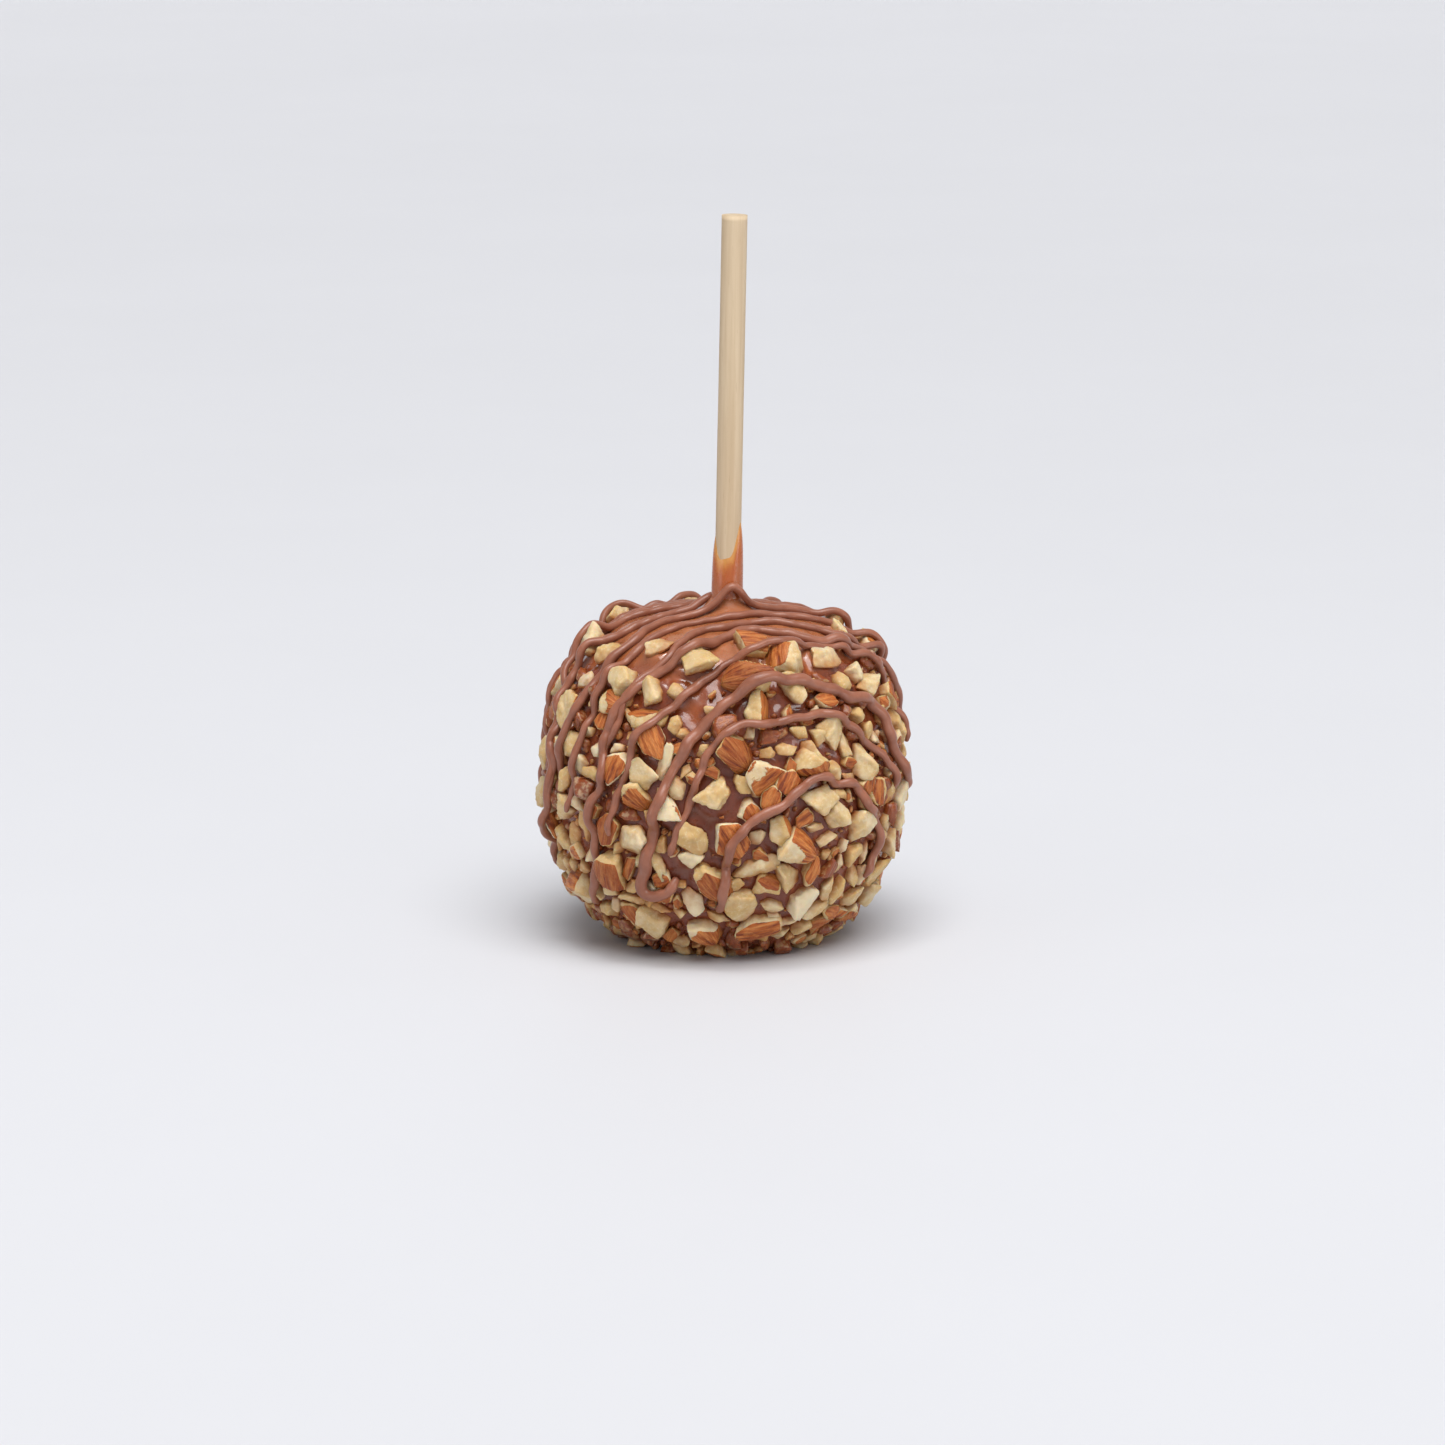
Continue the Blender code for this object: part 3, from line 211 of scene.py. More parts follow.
def bodyNormals(points):
    # the way in which the field grows fastest
    local = points - np.array((0, 0, body["waistHeight"]))
    steps = np.eye(3) * body["normalStep"]
    return unit(np.stack([bodyField(local + step) - bodyField(local - step) for step in steps], 1))


def crownHeights(radii):
    # height of the crown's surface at these distances from the axis
    starts = np.stack((radii, 0 * radii, 0 * radii), 1)
    up = np.tile((0.0, 0.0, 1.0), (len(radii), 1))
    return body["waistHeight"] + reachOf(bodyField, starts, up)


almond = {
    "half": np.array((11.5, 6.25, 4.25)) * mm,   # half length, width, thickness of a whole one
    "tipPower": 0.62,            # the higher, the sharper the end
    "bluntPower": 0.42,
    "peak": 1.02,                # what the product of both powers reaches at the widest
    "heightShare": 0.62,         # a piece's height from its width
    "heightMore": 1.2 * mm,
    "highest": 6.8 * mm,
    "buried": 0.23,              # share of its height in the caramel
    "footGap": 0.02 * mm,        # the lowest that a piece reaches above the foot
    "frontAlong": -0.1,          # where in the almond it is from: 1 the tip, -1 the blunt end
    "frontTilt": 0.2,
    "seed": 41,
    "nutSeeds": 41000,           # each piece's seed is this and its number
    "tiltSeeds": 900000,         # and for its tilt and its looks these on top
    "lookSeeds": 500000,
    "candidates": 24,            # places tried for each scattered piece
    "tilt": 0.28,
    "narrowest": 0.62,           # width of a scattered piece from its length
    "widthSpread": 0.33,
    "brownShare": 0.62,          # pieces that show their skin
    "brownSpread": 70.0,         # degrees over which the skin faces outward, or else inward
    "paleSpread": 170.0,
    "pointedShare": 0.25,        # pieces with the almond's tip
    "alongMiddle": 0.6,
    "alongSpread": 0.7,
    "topEdge": 51.0,             # elevations where the cover of almonds ends, and its waves
    "topWander": 5.0,
    "topWaves": 2,
    "topPhase": 40.0,
    "thinFrom": 36.0,            # from here up the pieces stand further apart
    "thinning": 6.0 * mm,
    "bottomEdge": -60.0,
}

# azimuth, elevation, length and width in millimetres, turn, where the skin faces (0 is outward),
# and whether it has the almond's tip; the last one is the one that bulges most behind
frontNuts = (
    (9, 41, 13.5, 9.5, 185, 10, True), (27, 45, 12.5, 9.5, 70, 35, False),
    (14, 52, 8.5, 7.5, 175, 15, False), (3, 18, 10.5, 9.0, -45, 0, True),
    (12, 11, 11.0, 8.0, 35, -35, False), (30, 13, 10.0, 8.5, -50, -25, True),
    (11, 31, 9.5, 7.0, 80, -45, False), (-23, 21, 10.0, 7.0, -60, 10, False),
    (-28, 27, 9.0, 5.5, 10, 35, False), (-35, 12, 9.0, 6.5, 70, 0, False),
    (-27, 4, 9.0, 7.0, -50, 0, True), (-37, -8, 9.0, 6.5, 75, 0, False),
    (-17, 0, 9.0, 7.5, -60, 40, False), (-10, -8, 10.5, 7.0, -38, -110, False),
    (-38, -21, 10.0, 9.0, 80, 0, False), (2, -9, 11.5, 8.5, -60, -10, False),
    (-3, -23, 12.5, 9.0, -60, 0, True), (24, -13, 11.0, 9.0, -30, 40, True),
    (-8, -43, 11.0, 9.0, -60, 0, True), (20, 8, 7.5, 7.0, 60, 0, False),
    (52, 4, 8.5, 5.5, 80, 0, False), (-58, -32, 11.5, 9.5, 10, 50, False),
    (14, -41, 12.5, 7.0, 10, 0, False), (47, 45, 11.5, 6.0, -5, -140, False),
    (27, 37, 10.5, 8.5, 150, 180, False), (38, 22, 9.0, 7.5, -80, 160, True),
    (51, 12, 9.5, 8.5, 50, 180, False), (-2, 5, 11.0, 8.5, 10, 180, False),
    (-24, 10, 10.0, 7.0, -60, -150, False), (-18, 14, 9.0, 5.0, 75, 180, True),
    (-28, -10, 10.0, 8.5, -70, 180, False), (-39, 38, 8.5, 8.0, 0, 180, False),
    (-25, 35, 8.5, 6.5, 80, 170, False), (-14, 48, 12.5, 7.5, -65, 180, False),
    (-79, 45, 10.5, 9.0, 10, 180, False), (-57, 46, 7.5, 6.0, 20, -130, True),
    (39, -4, 8.5, 8.0, 0, 180, False), (50, -9, 8.5, 8.0, 0, 180, False),
    (31, 2, 9.0, 7.5, 20, 180, False), (11, -18, 12.5, 5.5, 18, 180, True),
    (21, -22, 9.5, 6.5, -40, 180, False), (28, -31, 10.5, 7.5, 35, 180, False),
    (-27, -40, 10.0, 8.0, 70, 180, False), (7, -31, 11.5, 9.0, -60, -140, False),
    (-57, 15, 8.5, 7.0, 75, 140, False), (-32, 51, 8.0, 5.5, 15, -140, True),
    (-122, 50, 9.0, 7.0, 30, 180, False), (-160, 54, 6.5, 5.5, 0, 180, False),
    (155, 48, 7.0, 6.0, 0, 180, False), (112, 50, 7.0, 5.5, 0, 180, False),
    (80, 51, 6.5, 5.0, 20, 180, False), (98, 41, 9.0, 7.5, 40, 20, False),
    (60, 38, 6.0, 5.5, 80, -60, False), (64, 33, 9.5, 7.0, -20, 180, False),
    (-66, 26, 10.5, 8.0, 80, -130, False), (-41, 31, 8.0, 6.0, -10, 35, True),
    (80, 28, 7.5, 6.5, 70, 0, False), (180, -2, 11.0, 8.5, 30, 20, False),
)
# smaller ones between them, none with a tip: the same values without the last
frontChips = (
    (-43, 16, 7.5, 4.5, 30, 180), (-52, 10, 7.5, 5.5, 20, 180), (-59, 5, 7.0, 5.5, 80, 180),
    (-86, -5, 9.0, 6.5, 60, 180), (-58, -5, 8.0, 6.0, -40, 180), (-47, -9, 10.5, 4.0, -80, -150),
    (-63, -16, 10.5, 5.0, -30, 180), (-30, -3, 7.0, 4.0, -10, 180),
    (-53, -24, 5.5, 3.5, -45, 180), (-65, -29, 6.5, 3.0, 40, 180), (-31, -26, 7.5, 4.0, 15, -140),
    (-21, -18, 8.5, 4.0, -75, 180), (-19, -11, 5.5, 3.5, 70, 180), (-10, -15, 7.0, 5.0, 0, 180),
    (-20, -28, 8.5, 5.0, 25, 10), (-10, -30, 8.5, 5.0, -70, -120), (-34, -37, 7.5, 5.0, -65, 20),
    (-48, -38, 8.5, 5.5, 75, 180), (-16, -36, 5.0, 3.0, -10, 180), (-1, -37, 7.5, 4.0, -35, -150),
    (14, -25, 9.0, 5.5, -25, 45), (17, -33, 7.5, 4.0, -15, 180), (30, -21, 8.5, 5.5, 65, 0),
    (39, -29, 8.0, 4.0, -85, 50), (45, -29, 9.0, 5.5, 90, 180), (42, -21, 6.5, 3.0, -85, 180),
    (35, -11, 6.0, 4.5, 10, 180), (43, -14, 5.5, 3.0, -85, 180), (30, -7, 5.5, 3.5, -5, 180),
    (18, -7, 9.0, 6.5, -65, 50), (11, -8, 5.0, 4.0, 10, -130), (8, -1, 8.0, 6.5, -60, 15),
    (6, 8, 6.0, 5.0, -45, 180), (-3, 12, 5.5, 3.5, -15, 0), (-6, 19, 5.0, 3.5, 35, 180),
    (15, 18, 5.0, 3.5, -5, 180), (21, 19, 5.5, 4.0, -15, 180), (27, 23, 6.5, 4.0, -10, 180),
    (30, 18, 6.5, 4.0, -15, 180), (39, 10, 6.5, 4.5, -70, -150), (44, 17, 8.5, 4.0, -65, 180),
    (39, 3, 7.5, 3.5, -10, 180), (57, 1, 8.0, 6.0, 60, 30), (55, 7, 7.5, 5.0, -10, 180),
    (77, -4, 9.0, 7.0, 75, 180), (55, -20, 7.5, 4.0, -85, 180), (73, -18, 9.0, 7.0, -80, 170),
    (67, -31, 8.5, 6.5, 30, 150), (74, -37, 8.5, 7.0, -55, 180), (36, -44, 7.0, 5.0, 20, 180),
    (47, -39, 8.0, 4.5, -20, 10), (64, -42, 7.5, 5.5, -50, -30), (-31, -20, 7.5, 4.0, 65, 0),
    (-41, -30, 4.5, 3.5, 10, 90), (-16, 27, 5.0, 4.0, 65, 180), (-13, 24, 5.0, 3.5, 5, 180),
    (0, 26, 8.0, 6.5, 30, 0), (-4, 31, 4.5, 3.0, 0, 180), (9, 24, 4.0, 3.0, 65, 180),
    (16, 23, 6.5, 4.0, 5, 0), (-31, 22, 5.0, 3.0, 10, 180), (-51, 30, 5.0, 3.5, 75, 180),
    (-35, 33, 5.0, 3.0, 70, 180), (-43, 25, 6.0, 4.5, 80, 0), (-35, 18, 5.0, 4.0, 80, 180),
    (-45, 8, 6.5, 4.5, -10, 180), (-47, 3, 8.0, 6.0, -60, 180), (-43, -3, 6.0, 5.0, 60, 0),
    (-35, 3, 5.0, 3.0, 80, 180), (-24, -2, 5.0, 3.0, 80, 180), (-14, 19, 5.5, 3.5, 20, 20),
    (-12, 13, 4.5, 3.5, 60, 180), (39, 32, 6.5, 4.5, 0, 20), (53, 26, 7.0, 5.5, 0, 180),
    (47, 27, 5.0, 3.5, 80, 180), (57, 20, 6.5, 4.0, 75, 180), (68, 23, 5.5, 4.0, 80, 180),
    (82, 19, 8.0, 5.5, 80, 160), (90, 14, 8.0, 6.0, 60, 180), (61, 17, 6.0, 3.5, -30, 180),
    (22, 13, 7.0, 3.5, 80, 0), (15, 4, 8.0, 6.5, 60, 0), (45, 12, 5.0, 4.0, 0, 0),
    (44, 7, 6.5, 4.5, 30, -140), (33, 22, 5.5, 4.5, -45, 180), (21, 24, 5.0, 4.0, 60, 180),
    (26, -4, 7.0, 4.0, 30, 0), (68, -3, 7.0, 4.5, 80, 150), (83, -13, 7.5, 5.5, 70, 180),
    (59, -8, 5.0, 4.0, 0, 180), (-84, -21, 7.5, 5.5, 75, 180), (-53, -18, 6.0, 5.0, 10, 0),
    (-54, -13, 7.0, 3.5, 85, 180), (-47, -19, 6.5, 4.5, 80, 180), (-66, -25, 6.5, 5.0, 60, 160),
    (-50, -31, 7.0, 4.5, -50, 180), (-43, -36, 5.0, 3.5, 75, 180), (-33, -32, 8.0, 4.0, -25, 180),
    (-25, -28, 5.0, 4.0, 60, 180), (-27, -33, 5.5, 3.0, 75, 180), (-23, -35, 6.0, 3.0, -10, 180),
    (-26, -17, 6.5, 4.0, 45, 180), (-35, -14, 4.5, 4.0, 60, 180), (-20, -23, 5.5, 4.5, 30, 0),
    (-15, -25, 4.5, 3.0, 35, 180), (-46, -45, 6.5, 4.5, 30, -150), (-20, -51, 6.0, 4.5, 0, 150),
    (-22, -46, 5.5, 4.0, 60, 0), (12, -14, 5.5, 3.5, -20, 0), (4, -24, 6.0, 4.5, 60, 180),
    (48, -18, 8.0, 5.5, 75, 180), (50, -26, 6.5, 5.0, -60, 160), (38, -22, 5.5, 4.0, 60, 0),
    (62, -23, 8.0, 4.5, 75, 180), (74, -27, 6.0, 5.0, 30, 0), (56, -35, 8.0, 6.0, 60, -140),
    (55, -41, 6.5, 4.5, 30, 0), (37, -37, 9.0, 5.5, 55, 180), (42, -43, 8.0, 4.0, 15, 10),
    (26, -47, 5.5, 4.0, 60, 180), (26, -41, 6.5, 3.5, 10, 180), (20, -38, 5.5, 3.0, -35, 180),
)
# places that stay bare: azimuth, elevation, radius in millimetres
barePatches = ((-10, 31, 5.0), (-7, -4, 5.0), (-13, -21, 3.5), (5, 0, 3.0), (64, 25, 4.0))

# the kinds of pieces, two from the lists above and the scattered ones: the rings and sides of its
# grid, the share of them that caramel covers, and for scattered ones how many are tried, shortest
# and longest in millimetres, the overlap allowed as a share of the shortest, and the azimuth
# beyond which they lie
almondKinds = {
    "almondFronts": {"rings": 36, "sides": 46},
    "almondFlakes": {"rings": 24, "sides": 30, "coated": 0.1},
    "almondPieces": {"tries": 44, "shortest": 7.2, "longest": 9.6, "overlap": 0.0, "beyond": 68,
                     "rings": 28, "sides": 36},
    "almondChips": {"tries": 120, "shortest": 5.0, "longest": 7.2, "overlap": 0.06,
                    "rings": 20, "sides": 26, "coated": 0.25},
    "almondSlivers": {"tries": 300, "shortest": 4.4, "longest": 7.0, "overlap": 0.45,
                      "rings": 7, "sides": 9, "coated": 0.5},
    "almondBits": {"tries": 300, "shortest": 2.6, "longest": 4.2, "overlap": 0.4,
                   "rings": 6, "sides": 8, "coated": 0.4},
    "almondGrains": {"tries": 260, "shortest": 1.4, "longest": 2.6, "overlap": 0.3,
                     "rings": 5, "sides": 7, "coated": 0.4},
    "almondCrumbs": {"tries": 300, "shortest": 0.7, "longest": 1.4, "overlap": 0.3,
                     "rings": 4, "sides": 6, "coated": 0.4},
}


def nutHeight(width):
    # a share of the width and a little more, but no more than the highest
    return np.minimum(almond["heightShare"] * width + almond["heightMore"], almond["highest"])


def nutRadius(nut):
    # the mean of half its length and half its width
    return (nut["length"] + nut["width"]) / 4


def frontNut(number, row):
    # a listed piece, from its row, with a small lean of its own
    azimuth, elevation, length, width, turn, skin, pointed = row
    place = bodyPoints(directionsAt([azimuth], [elevation]))[0]
    seed = almond["nutSeeds"] + number
    leans = np.random.RandomState(seed + almond["tiltSeeds"])
    tilt = leans.uniform(-almond["frontTilt"], almond["frontTilt"], 2)
    return {"place": place, "length": length * mm, "width": width * mm, "turn": turn,
            "height": nutHeight(width * mm), "skin": skin, "pointed": pointed,
            "along": almond["frontAlong"], "tilt": tilt, "seed": seed}


def drawnNuts(kind, draws):
    # candidates for one piece, from rows of ten numbers between 0 and 1: even over the surface
    # of a ball between the lower and the upper edge
    azimuths = 360 * draws[:, 0] - 180
    low = math.sin(math.radians(almond["bottomEdge"]))
    high = math.sin(math.radians(almond["topEdge"] + almond["topWander"]))
    elevations = np.degrees(np.arcsin(low + (high - low) * draws[:, 1]))
    lengths = (kind["shortest"] + (kind["longest"] - kind["shortest"]) * draws[:, 2]) * mm
    widths = lengths * (almond["narrowest"] + almond["widthSpread"] * draws[:, 3])
    return azimuths, elevations, lengths, widths


def roomOf(azimuths, elevations, lengths, widths, others, sizes):
    # free distance to the nearest piece or bare patch, less where the cover thins on the crown
    places = bodyPoints(directionsAt(azimuths, elevations))
    gaps = np.linalg.norm(places[:, None] - others[None], axis=2)
    room = np.min(gaps - sizes, axis=1) - (lengths + widths) / 4
    waves = np.sin(np.radians(almond["topWaves"] * azimuths + almond["topPhase"]))
    edge = almond["topEdge"] + almond["topWander"] * waves
    thin = np.clip((elevations - almond["thinFrom"]) / (edge - almond["thinFrom"]), 0, 1)
    room = room - almond["thinning"] * thin
    return np.where(elevations < edge, room, -body["far"]), places


def scatterNuts():
    # the pieces in front, then kind after kind from the largest, each where most room is
    rows = frontNuts + tuple(row + (False,) for row in frontChips)
    placed = [frontNut(number, row) for number, row in enumerate(rows)]
    groups = {name: [] for name in almondKinds}
    groups["almondFronts"] = placed[:len(frontNuts)]
    groups["almondFlakes"] = placed[len(frontNuts):]
    others = [nut["place"] for nut in placed]
    sizes = [nutRadius(nut) for nut in placed]
    for azimuth, elevation, radius in barePatches:
        others.append(bodyPoints(directionsAt([azimuth], [elevation]))[0])
        sizes.append(radius * mm)
    number = len(placed)
    source = np.random.RandomState(almond["seed"])
    for name, kind in almondKinds.items():
        for _ in range(kind.get("tries", 0)):
            draws = source.random_sample((almond["candidates"], 10))
            azimuths, elevations, lengths, widths = drawnNuts(kind, draws)
            room, places = roomOf(azimuths, elevations, lengths, widths,
                                  np.array(others), np.array(sizes))
            room = np.where(np.abs(azimuths) < kind.get("beyond", 0), -body["far"], room)
            best = int(np.argmax(room))
            if room[best] > -kind["overlap"] * kind["shortest"] * mm:
                nut = scatteredNut(number, places[best], lengths[best], widths[best], draws[best])
                groups[name].append(nut)
                others.append(nut["place"])
                sizes.append(nutRadius(nut))
                number += 1
    return groups


def scatteredNut(number, place, length, width, draws):
    # its turn, the side of its skin, the part of the almond and its lean, from the draws
    brown = draws[5] < almond["brownShare"]
    middle, spread = (0, almond["brownSpread"]) if brown else (180, almond["paleSpread"])
    tilt = almond["tilt"]
    return {"place": place, "length": length, "width": width, "turn": 360 * draws[4],
            "height": nutHeight(width), "skin": middle + spread * (draws[6] - 0.5),
            "pointed": draws[7] < almond["pointedShare"],
            "along": almond["alongSpread"] * (draws[7] - almond["alongMiddle"]),
            "tilt": (tilt * (2 * draws[8] - 1), tilt * (2 * draws[9] - 1)),
            "seed": almond["nutSeeds"] + number}


surface = {
    "sideBreaks": (4, 6),        # fewest and most broken faces round a piece
    "topBreaks": 3,
    "uneven": 0.3,               # how far they stray, as a share of an even step round it
    "sideSlopes": (-0.45, 0.3),
    "topSlopes": (0.1, 0.9),
    "reaches": (0.75, 1.0),      # distance from the middle, in shares of half its size
    "skinFree": 0.9,             # how much further out they are on the skin's side
    "tipFree": 1.6,              # and at a tip
    "tipFrom": 0.5,
    "rounding": 15,              # the higher, the sharper the broken edges
    "grazing": 1e-3,             # the least that a direction counts as meeting a face
    "skinReach": 0.95,           # where the skin lies, as a share of half the piece
    "farFrom": -0.05,            # behind this the almond's far side is broken off
    "farBand": 0.5,
    "relief": ((0.17 * mm, 2.2 * mm), (0.26 * mm, 5.0 * mm), (0.05 * mm, 0.9 * mm)),
    "fullRelief": 9 * mm,        # pieces shorter than this have less of it
    "ridges": 13,                # wrinkles in half a turn of the skin
    "ridgeDepth": 0.17 * mm,
    "ridgeMiddle": 0.9,
    "finerRidges": 1.63,         # a second set of wrinkles, how many more and how deep
    "finerDepth": 0.5,
    "bend": 0.6,                 # how the wrinkles wander along the almond
    "bendLength": 3.1 * mm,
    "phases": (6, 3),            # how far that and the wrinkles are shifted at most
    "skinBand": 0.3,             # millimetres over which wrinkles give way to broken flesh
}


def almondWaist(along):
    # how wide an almond is along its length, 1 at its widest
    along = np.clip(along, -1, 1)
    waist = (1 - along) ** almond["tipPower"] * (1 + along) ** almond["bluntPower"] / almond["peak"]
    return np.maximum(waist, body["least"])


def almondField(places):
    # (across / half width)^2 + (up / half thickness)^2, both over the waist: 1 on the skin
    waist = almondWaist(places[:, 0] / almond["half"][0])
    return ((places[:, 1] / almond["half"][1] / waist) ** 2
            + (places[:, 2] / almond["half"][2] / waist) ** 2)


def nutFrame(nut):
    # the piece's own axes: along it, across it and up, turned on the surface and a little tilted
    outward = bodyNormals(nut["place"][None])[0]
    right = unit(np.cross((0, 0, 1), outward))
    up = np.cross(outward, right)
    turn = math.radians(nut["turn"])
    along = math.cos(turn) * right + math.sin(turn) * up
    across = np.cross(outward, along)
    leaning = unit(outward + nut["tilt"][0] * along + nut["tilt"][1] * across)
    along = unit(along - leaning * (along @ leaning))
    return np.array((along, np.cross(leaning, along), leaning)), outward


def nutBreaks(nut, skinSide):
    # the broken faces, some around it and some on top: their normals and their distances from
    # the middle, in shares of half its size; none cuts the skin side or a tip
    source = np.random.RandomState(nut["seed"])
    fewest, most = surface["sideBreaks"]
    count = source.randint(fewest, most + 1)
    uneven = source.uniform(-surface["uneven"], surface["uneven"], count)
    turns = (np.arange(count) + uneven) / count * 2 * math.pi + source.uniform(0, 2 * math.pi)
    around = np.stack((np.cos(turns), np.sin(turns),
                       source.uniform(*surface["sideSlopes"], count)), 1)
    ways = source.uniform(0, 2 * math.pi, surface["topBreaks"])
    slopes = source.uniform(*surface["topSlopes"], surface["topBreaks"])
    above = np.stack((slopes * np.cos(ways), slopes * np.sin(ways), 0 * ways + 1), 1)
    normals = unit(np.concatenate((around, above, ((0, 0, -1),))))
    reach = source.uniform(*surface["reaches"], len(normals))
    reach = reach * (1 + surface["skinFree"] * smoothStep(2 * (normals @ skinSide)))
    if nut["pointed"]:
        reach = np.where(normals[:, 0] > surface["tipFrom"], surface["tipFree"] * reach, reach)
    return normals, reach


def reachOfBreaks(directions, size, normals, reach):
    # distance to the nearest broken face: one over the sum of (facing / reach)^power to the
    # 1/power, which rounds the edges off
    power = surface["rounding"]
    facing = np.maximum(directions / size @ normals.T, surface["grazing"]) / reach
    return (facing ** power).sum(1) ** (-1 / power)


def skinWrinkles(inAlmond, looks):
    # two sets of ridges round the almond that wander together along it
    around = np.arctan2(inAlmond[:, 1] / almond["half"][1], inAlmond[:, 2] / almond["half"][2])
    bendPhase, ridgePhase = [looks.uniform(0, most) for most in surface["phases"]]
    bend = surface["bend"] * np.sin(inAlmond[:, 0] / surface["bendLength"] + bendPhase)
    ridges = surface["ridges"]
    wrinkle = np.abs(np.sin(ridges * around + bend + ridgePhase))
    finer = np.abs(np.sin(surface["finerRidges"] * ridges * around - bend))
    return wrinkle + surface["finerDepth"] * finer - surface["ridgeMiddle"]


def nutSurface(nut, grid):
    # the nearest of the broken faces and the almond's own skin, with rounded edges, as a
    # distance along each direction of the grid; then wrinkles on the skin, chips elsewhere
    half = np.array((nut["length"], nut["width"], nut["height"])) / 2
    directions = unit(grid * half)
    skin = math.radians(nut["skin"])
    skinSide = np.array((0, math.sin(skin), math.cos(skin)))
    edgeSide = np.array((0, math.cos(skin), -math.sin(skin)))
    start = np.zeros(3)          # the piece's middle, in the whole almond
    start[0] = almond["half"][0] - half[0] if nut["pointed"] else nut["along"] * almond["half"][0]
    waist = reachOf(almondField, start, np.array(((0.0, 0.0, 1.0),)))[0]
    start[2] = waist - surface["skinReach"] * np.linalg.norm(skinSide * half)
    turned = directions @ np.array(((1, 0, 0), edgeSide, skinSide)).T
    whole = reachOf(almondField, start, turned)
    whole *= 1 + smoothStep((surface["farFrom"] - turned[:, 2]) / surface["farBand"])
    normals, reach = nutBreaks(nut, skinSide)
    nearest = np.minimum(reachOfBreaks(directions, half, normals, reach), whole)
    extent = np.abs(directions * nearest[:, None]).max(0)    # the faces are moved to fit the size
    broken = reachOfBreaks(directions, half * half / extent, normals, reach)
    power = surface["rounding"]
    radius = (broken ** -power + whole ** -power) ** (-1 / power)
    inAlmond = start + turned * radius[:, None]
    skinEdge = (broken - whole) / mm
    looks = np.random.RandomState(nut["seed"] + almond["lookSeeds"])
    size = min(1.0, nut["length"] / surface["fullRelief"])
    local = directions * radius[:, None]
    chips = sum(depth * size * ripple(local, length, looks) for depth, length in surface["relief"])
    wrinkles = surface["ridgeDepth"] * size * skinWrinkles(inAlmond, looks)
    onSkin = smoothStep(0.5 + skinEdge / surface["skinBand"])
    radius = radius + chips * (1 - onSkin) + wrinkles * onSkin
    return directions * radius[:, None], skinEdge, inAlmond / mm, looks.random_sample(2)


def sphereGrid(rings, sides):
    # unit directions on rings from +X to -X, then the two poles
    turns = (np.arange(rings) + 1) / (rings + 1) * math.pi
    turn, angle = np.meshgrid(turns, anglesRound(sides), indexing="ij")
    ring = np.stack((np.cos(turn), np.sin(turn) * np.cos(angle), np.sin(turn) * np.sin(angle)), -1)
    return np.concatenate((ring.reshape(-1, 3), ((1, 0, 0), (-1, 0, 0))))


def makeAlmonds(name, nuts, material):
    # every piece of one kind in its place, with what its looks depend on: how far the skin's
    # edge is, where in the almond and how high above the caramel each point is, and two draws
    kind = almondKinds[name]
    grid = sphereGrid(kind["rings"], kind["sides"])
    points = []
    values = {"skinEdge": [], "almondPlace": [], "lift": [], "tone": [], "coated": []}
    for nut in nuts:
        axes, outward = nutFrame(nut)
        local, skinEdge, inAlmond, (tone, luck) = nutSurface(nut, grid)
        centre = nut["place"] + outward * nut["height"] * (0.5 - almond["buried"])
        place = centre + local @ axes
        lift = (place - nut["place"]) @ outward / mm
        coated = float(luck < kind.get("coated", 0.0))
        points.append(place)
        tones = np.full(len(grid), tone)
        coats = np.full(len(grid), coated)
        for key, value in zip(values, (skinEdge, inAlmond, lift, tones, coats)):
            values[key].append(value)
    points = np.concatenate(points)
    points[:, 2] = np.maximum(points[:, 2], almond["footGap"])
    values = {key: np.concatenate(value) for key, value in values.items()}
    quads, triangles = loftFaces(kind["rings"], kind["sides"])
    return makePiece(name, points, repeatFaces(quads, len(nuts), len(grid)),
                     repeatFaces(triangles, len(nuts), len(grid)), material, values)


caramel = {
    "sides": 400,
    "filmRings": 34,             # up the stick
    "flareRings": 40,            # where the film spreads into the crown
    "bodyRings": 150,
    "footRings": 8,
    "collarRadius": 4.0 * mm,
    "collarBottom": 85.5 * mm,
    "collarTop": 98.5 * mm,
    "lipWaves": ((1, -0.9, 2.2 * mm), (2, 3.4, 4.2 * mm), (5, 1.0, 0.7 * mm)),  # like the body's swells
    "thickening": 4.5 * mm,      # how fast the film gets thick below its lip
    "tuck": 0.05 * mm,           # how far the lip's edge runs into the stick
    "flare": 3.2 * mm,
    "flareWidth": 15.5 * mm,
    "flareGrowth": 1.4,          # its rings stand further apart outwards
    "leanFrom": 70 * mm,         # above this height it leans with the stick
    "leanBand": 14 * mm,
    "climb": 0.9 * mm,           # how high it stands up against the almonds
    "climbShare": 0.3,           # and against small ones, as a share of their radius
    "climbWidth": 1.0 * mm,
    "climbPower": 1.5,
    "climbUnder": 0.9,           # share of a piece's radius from which it falls off
    "parts": 12,                 # in how many goes that is worked out
    "unevenness": 0.16 * mm,
    "waves": ((1.0, 9 * mm), (0.4, 3.5 * mm)),
    "poleDrop": 4 * mm,          # the coat closes inside the stick, this far below its lip
    "seed": 17,
}


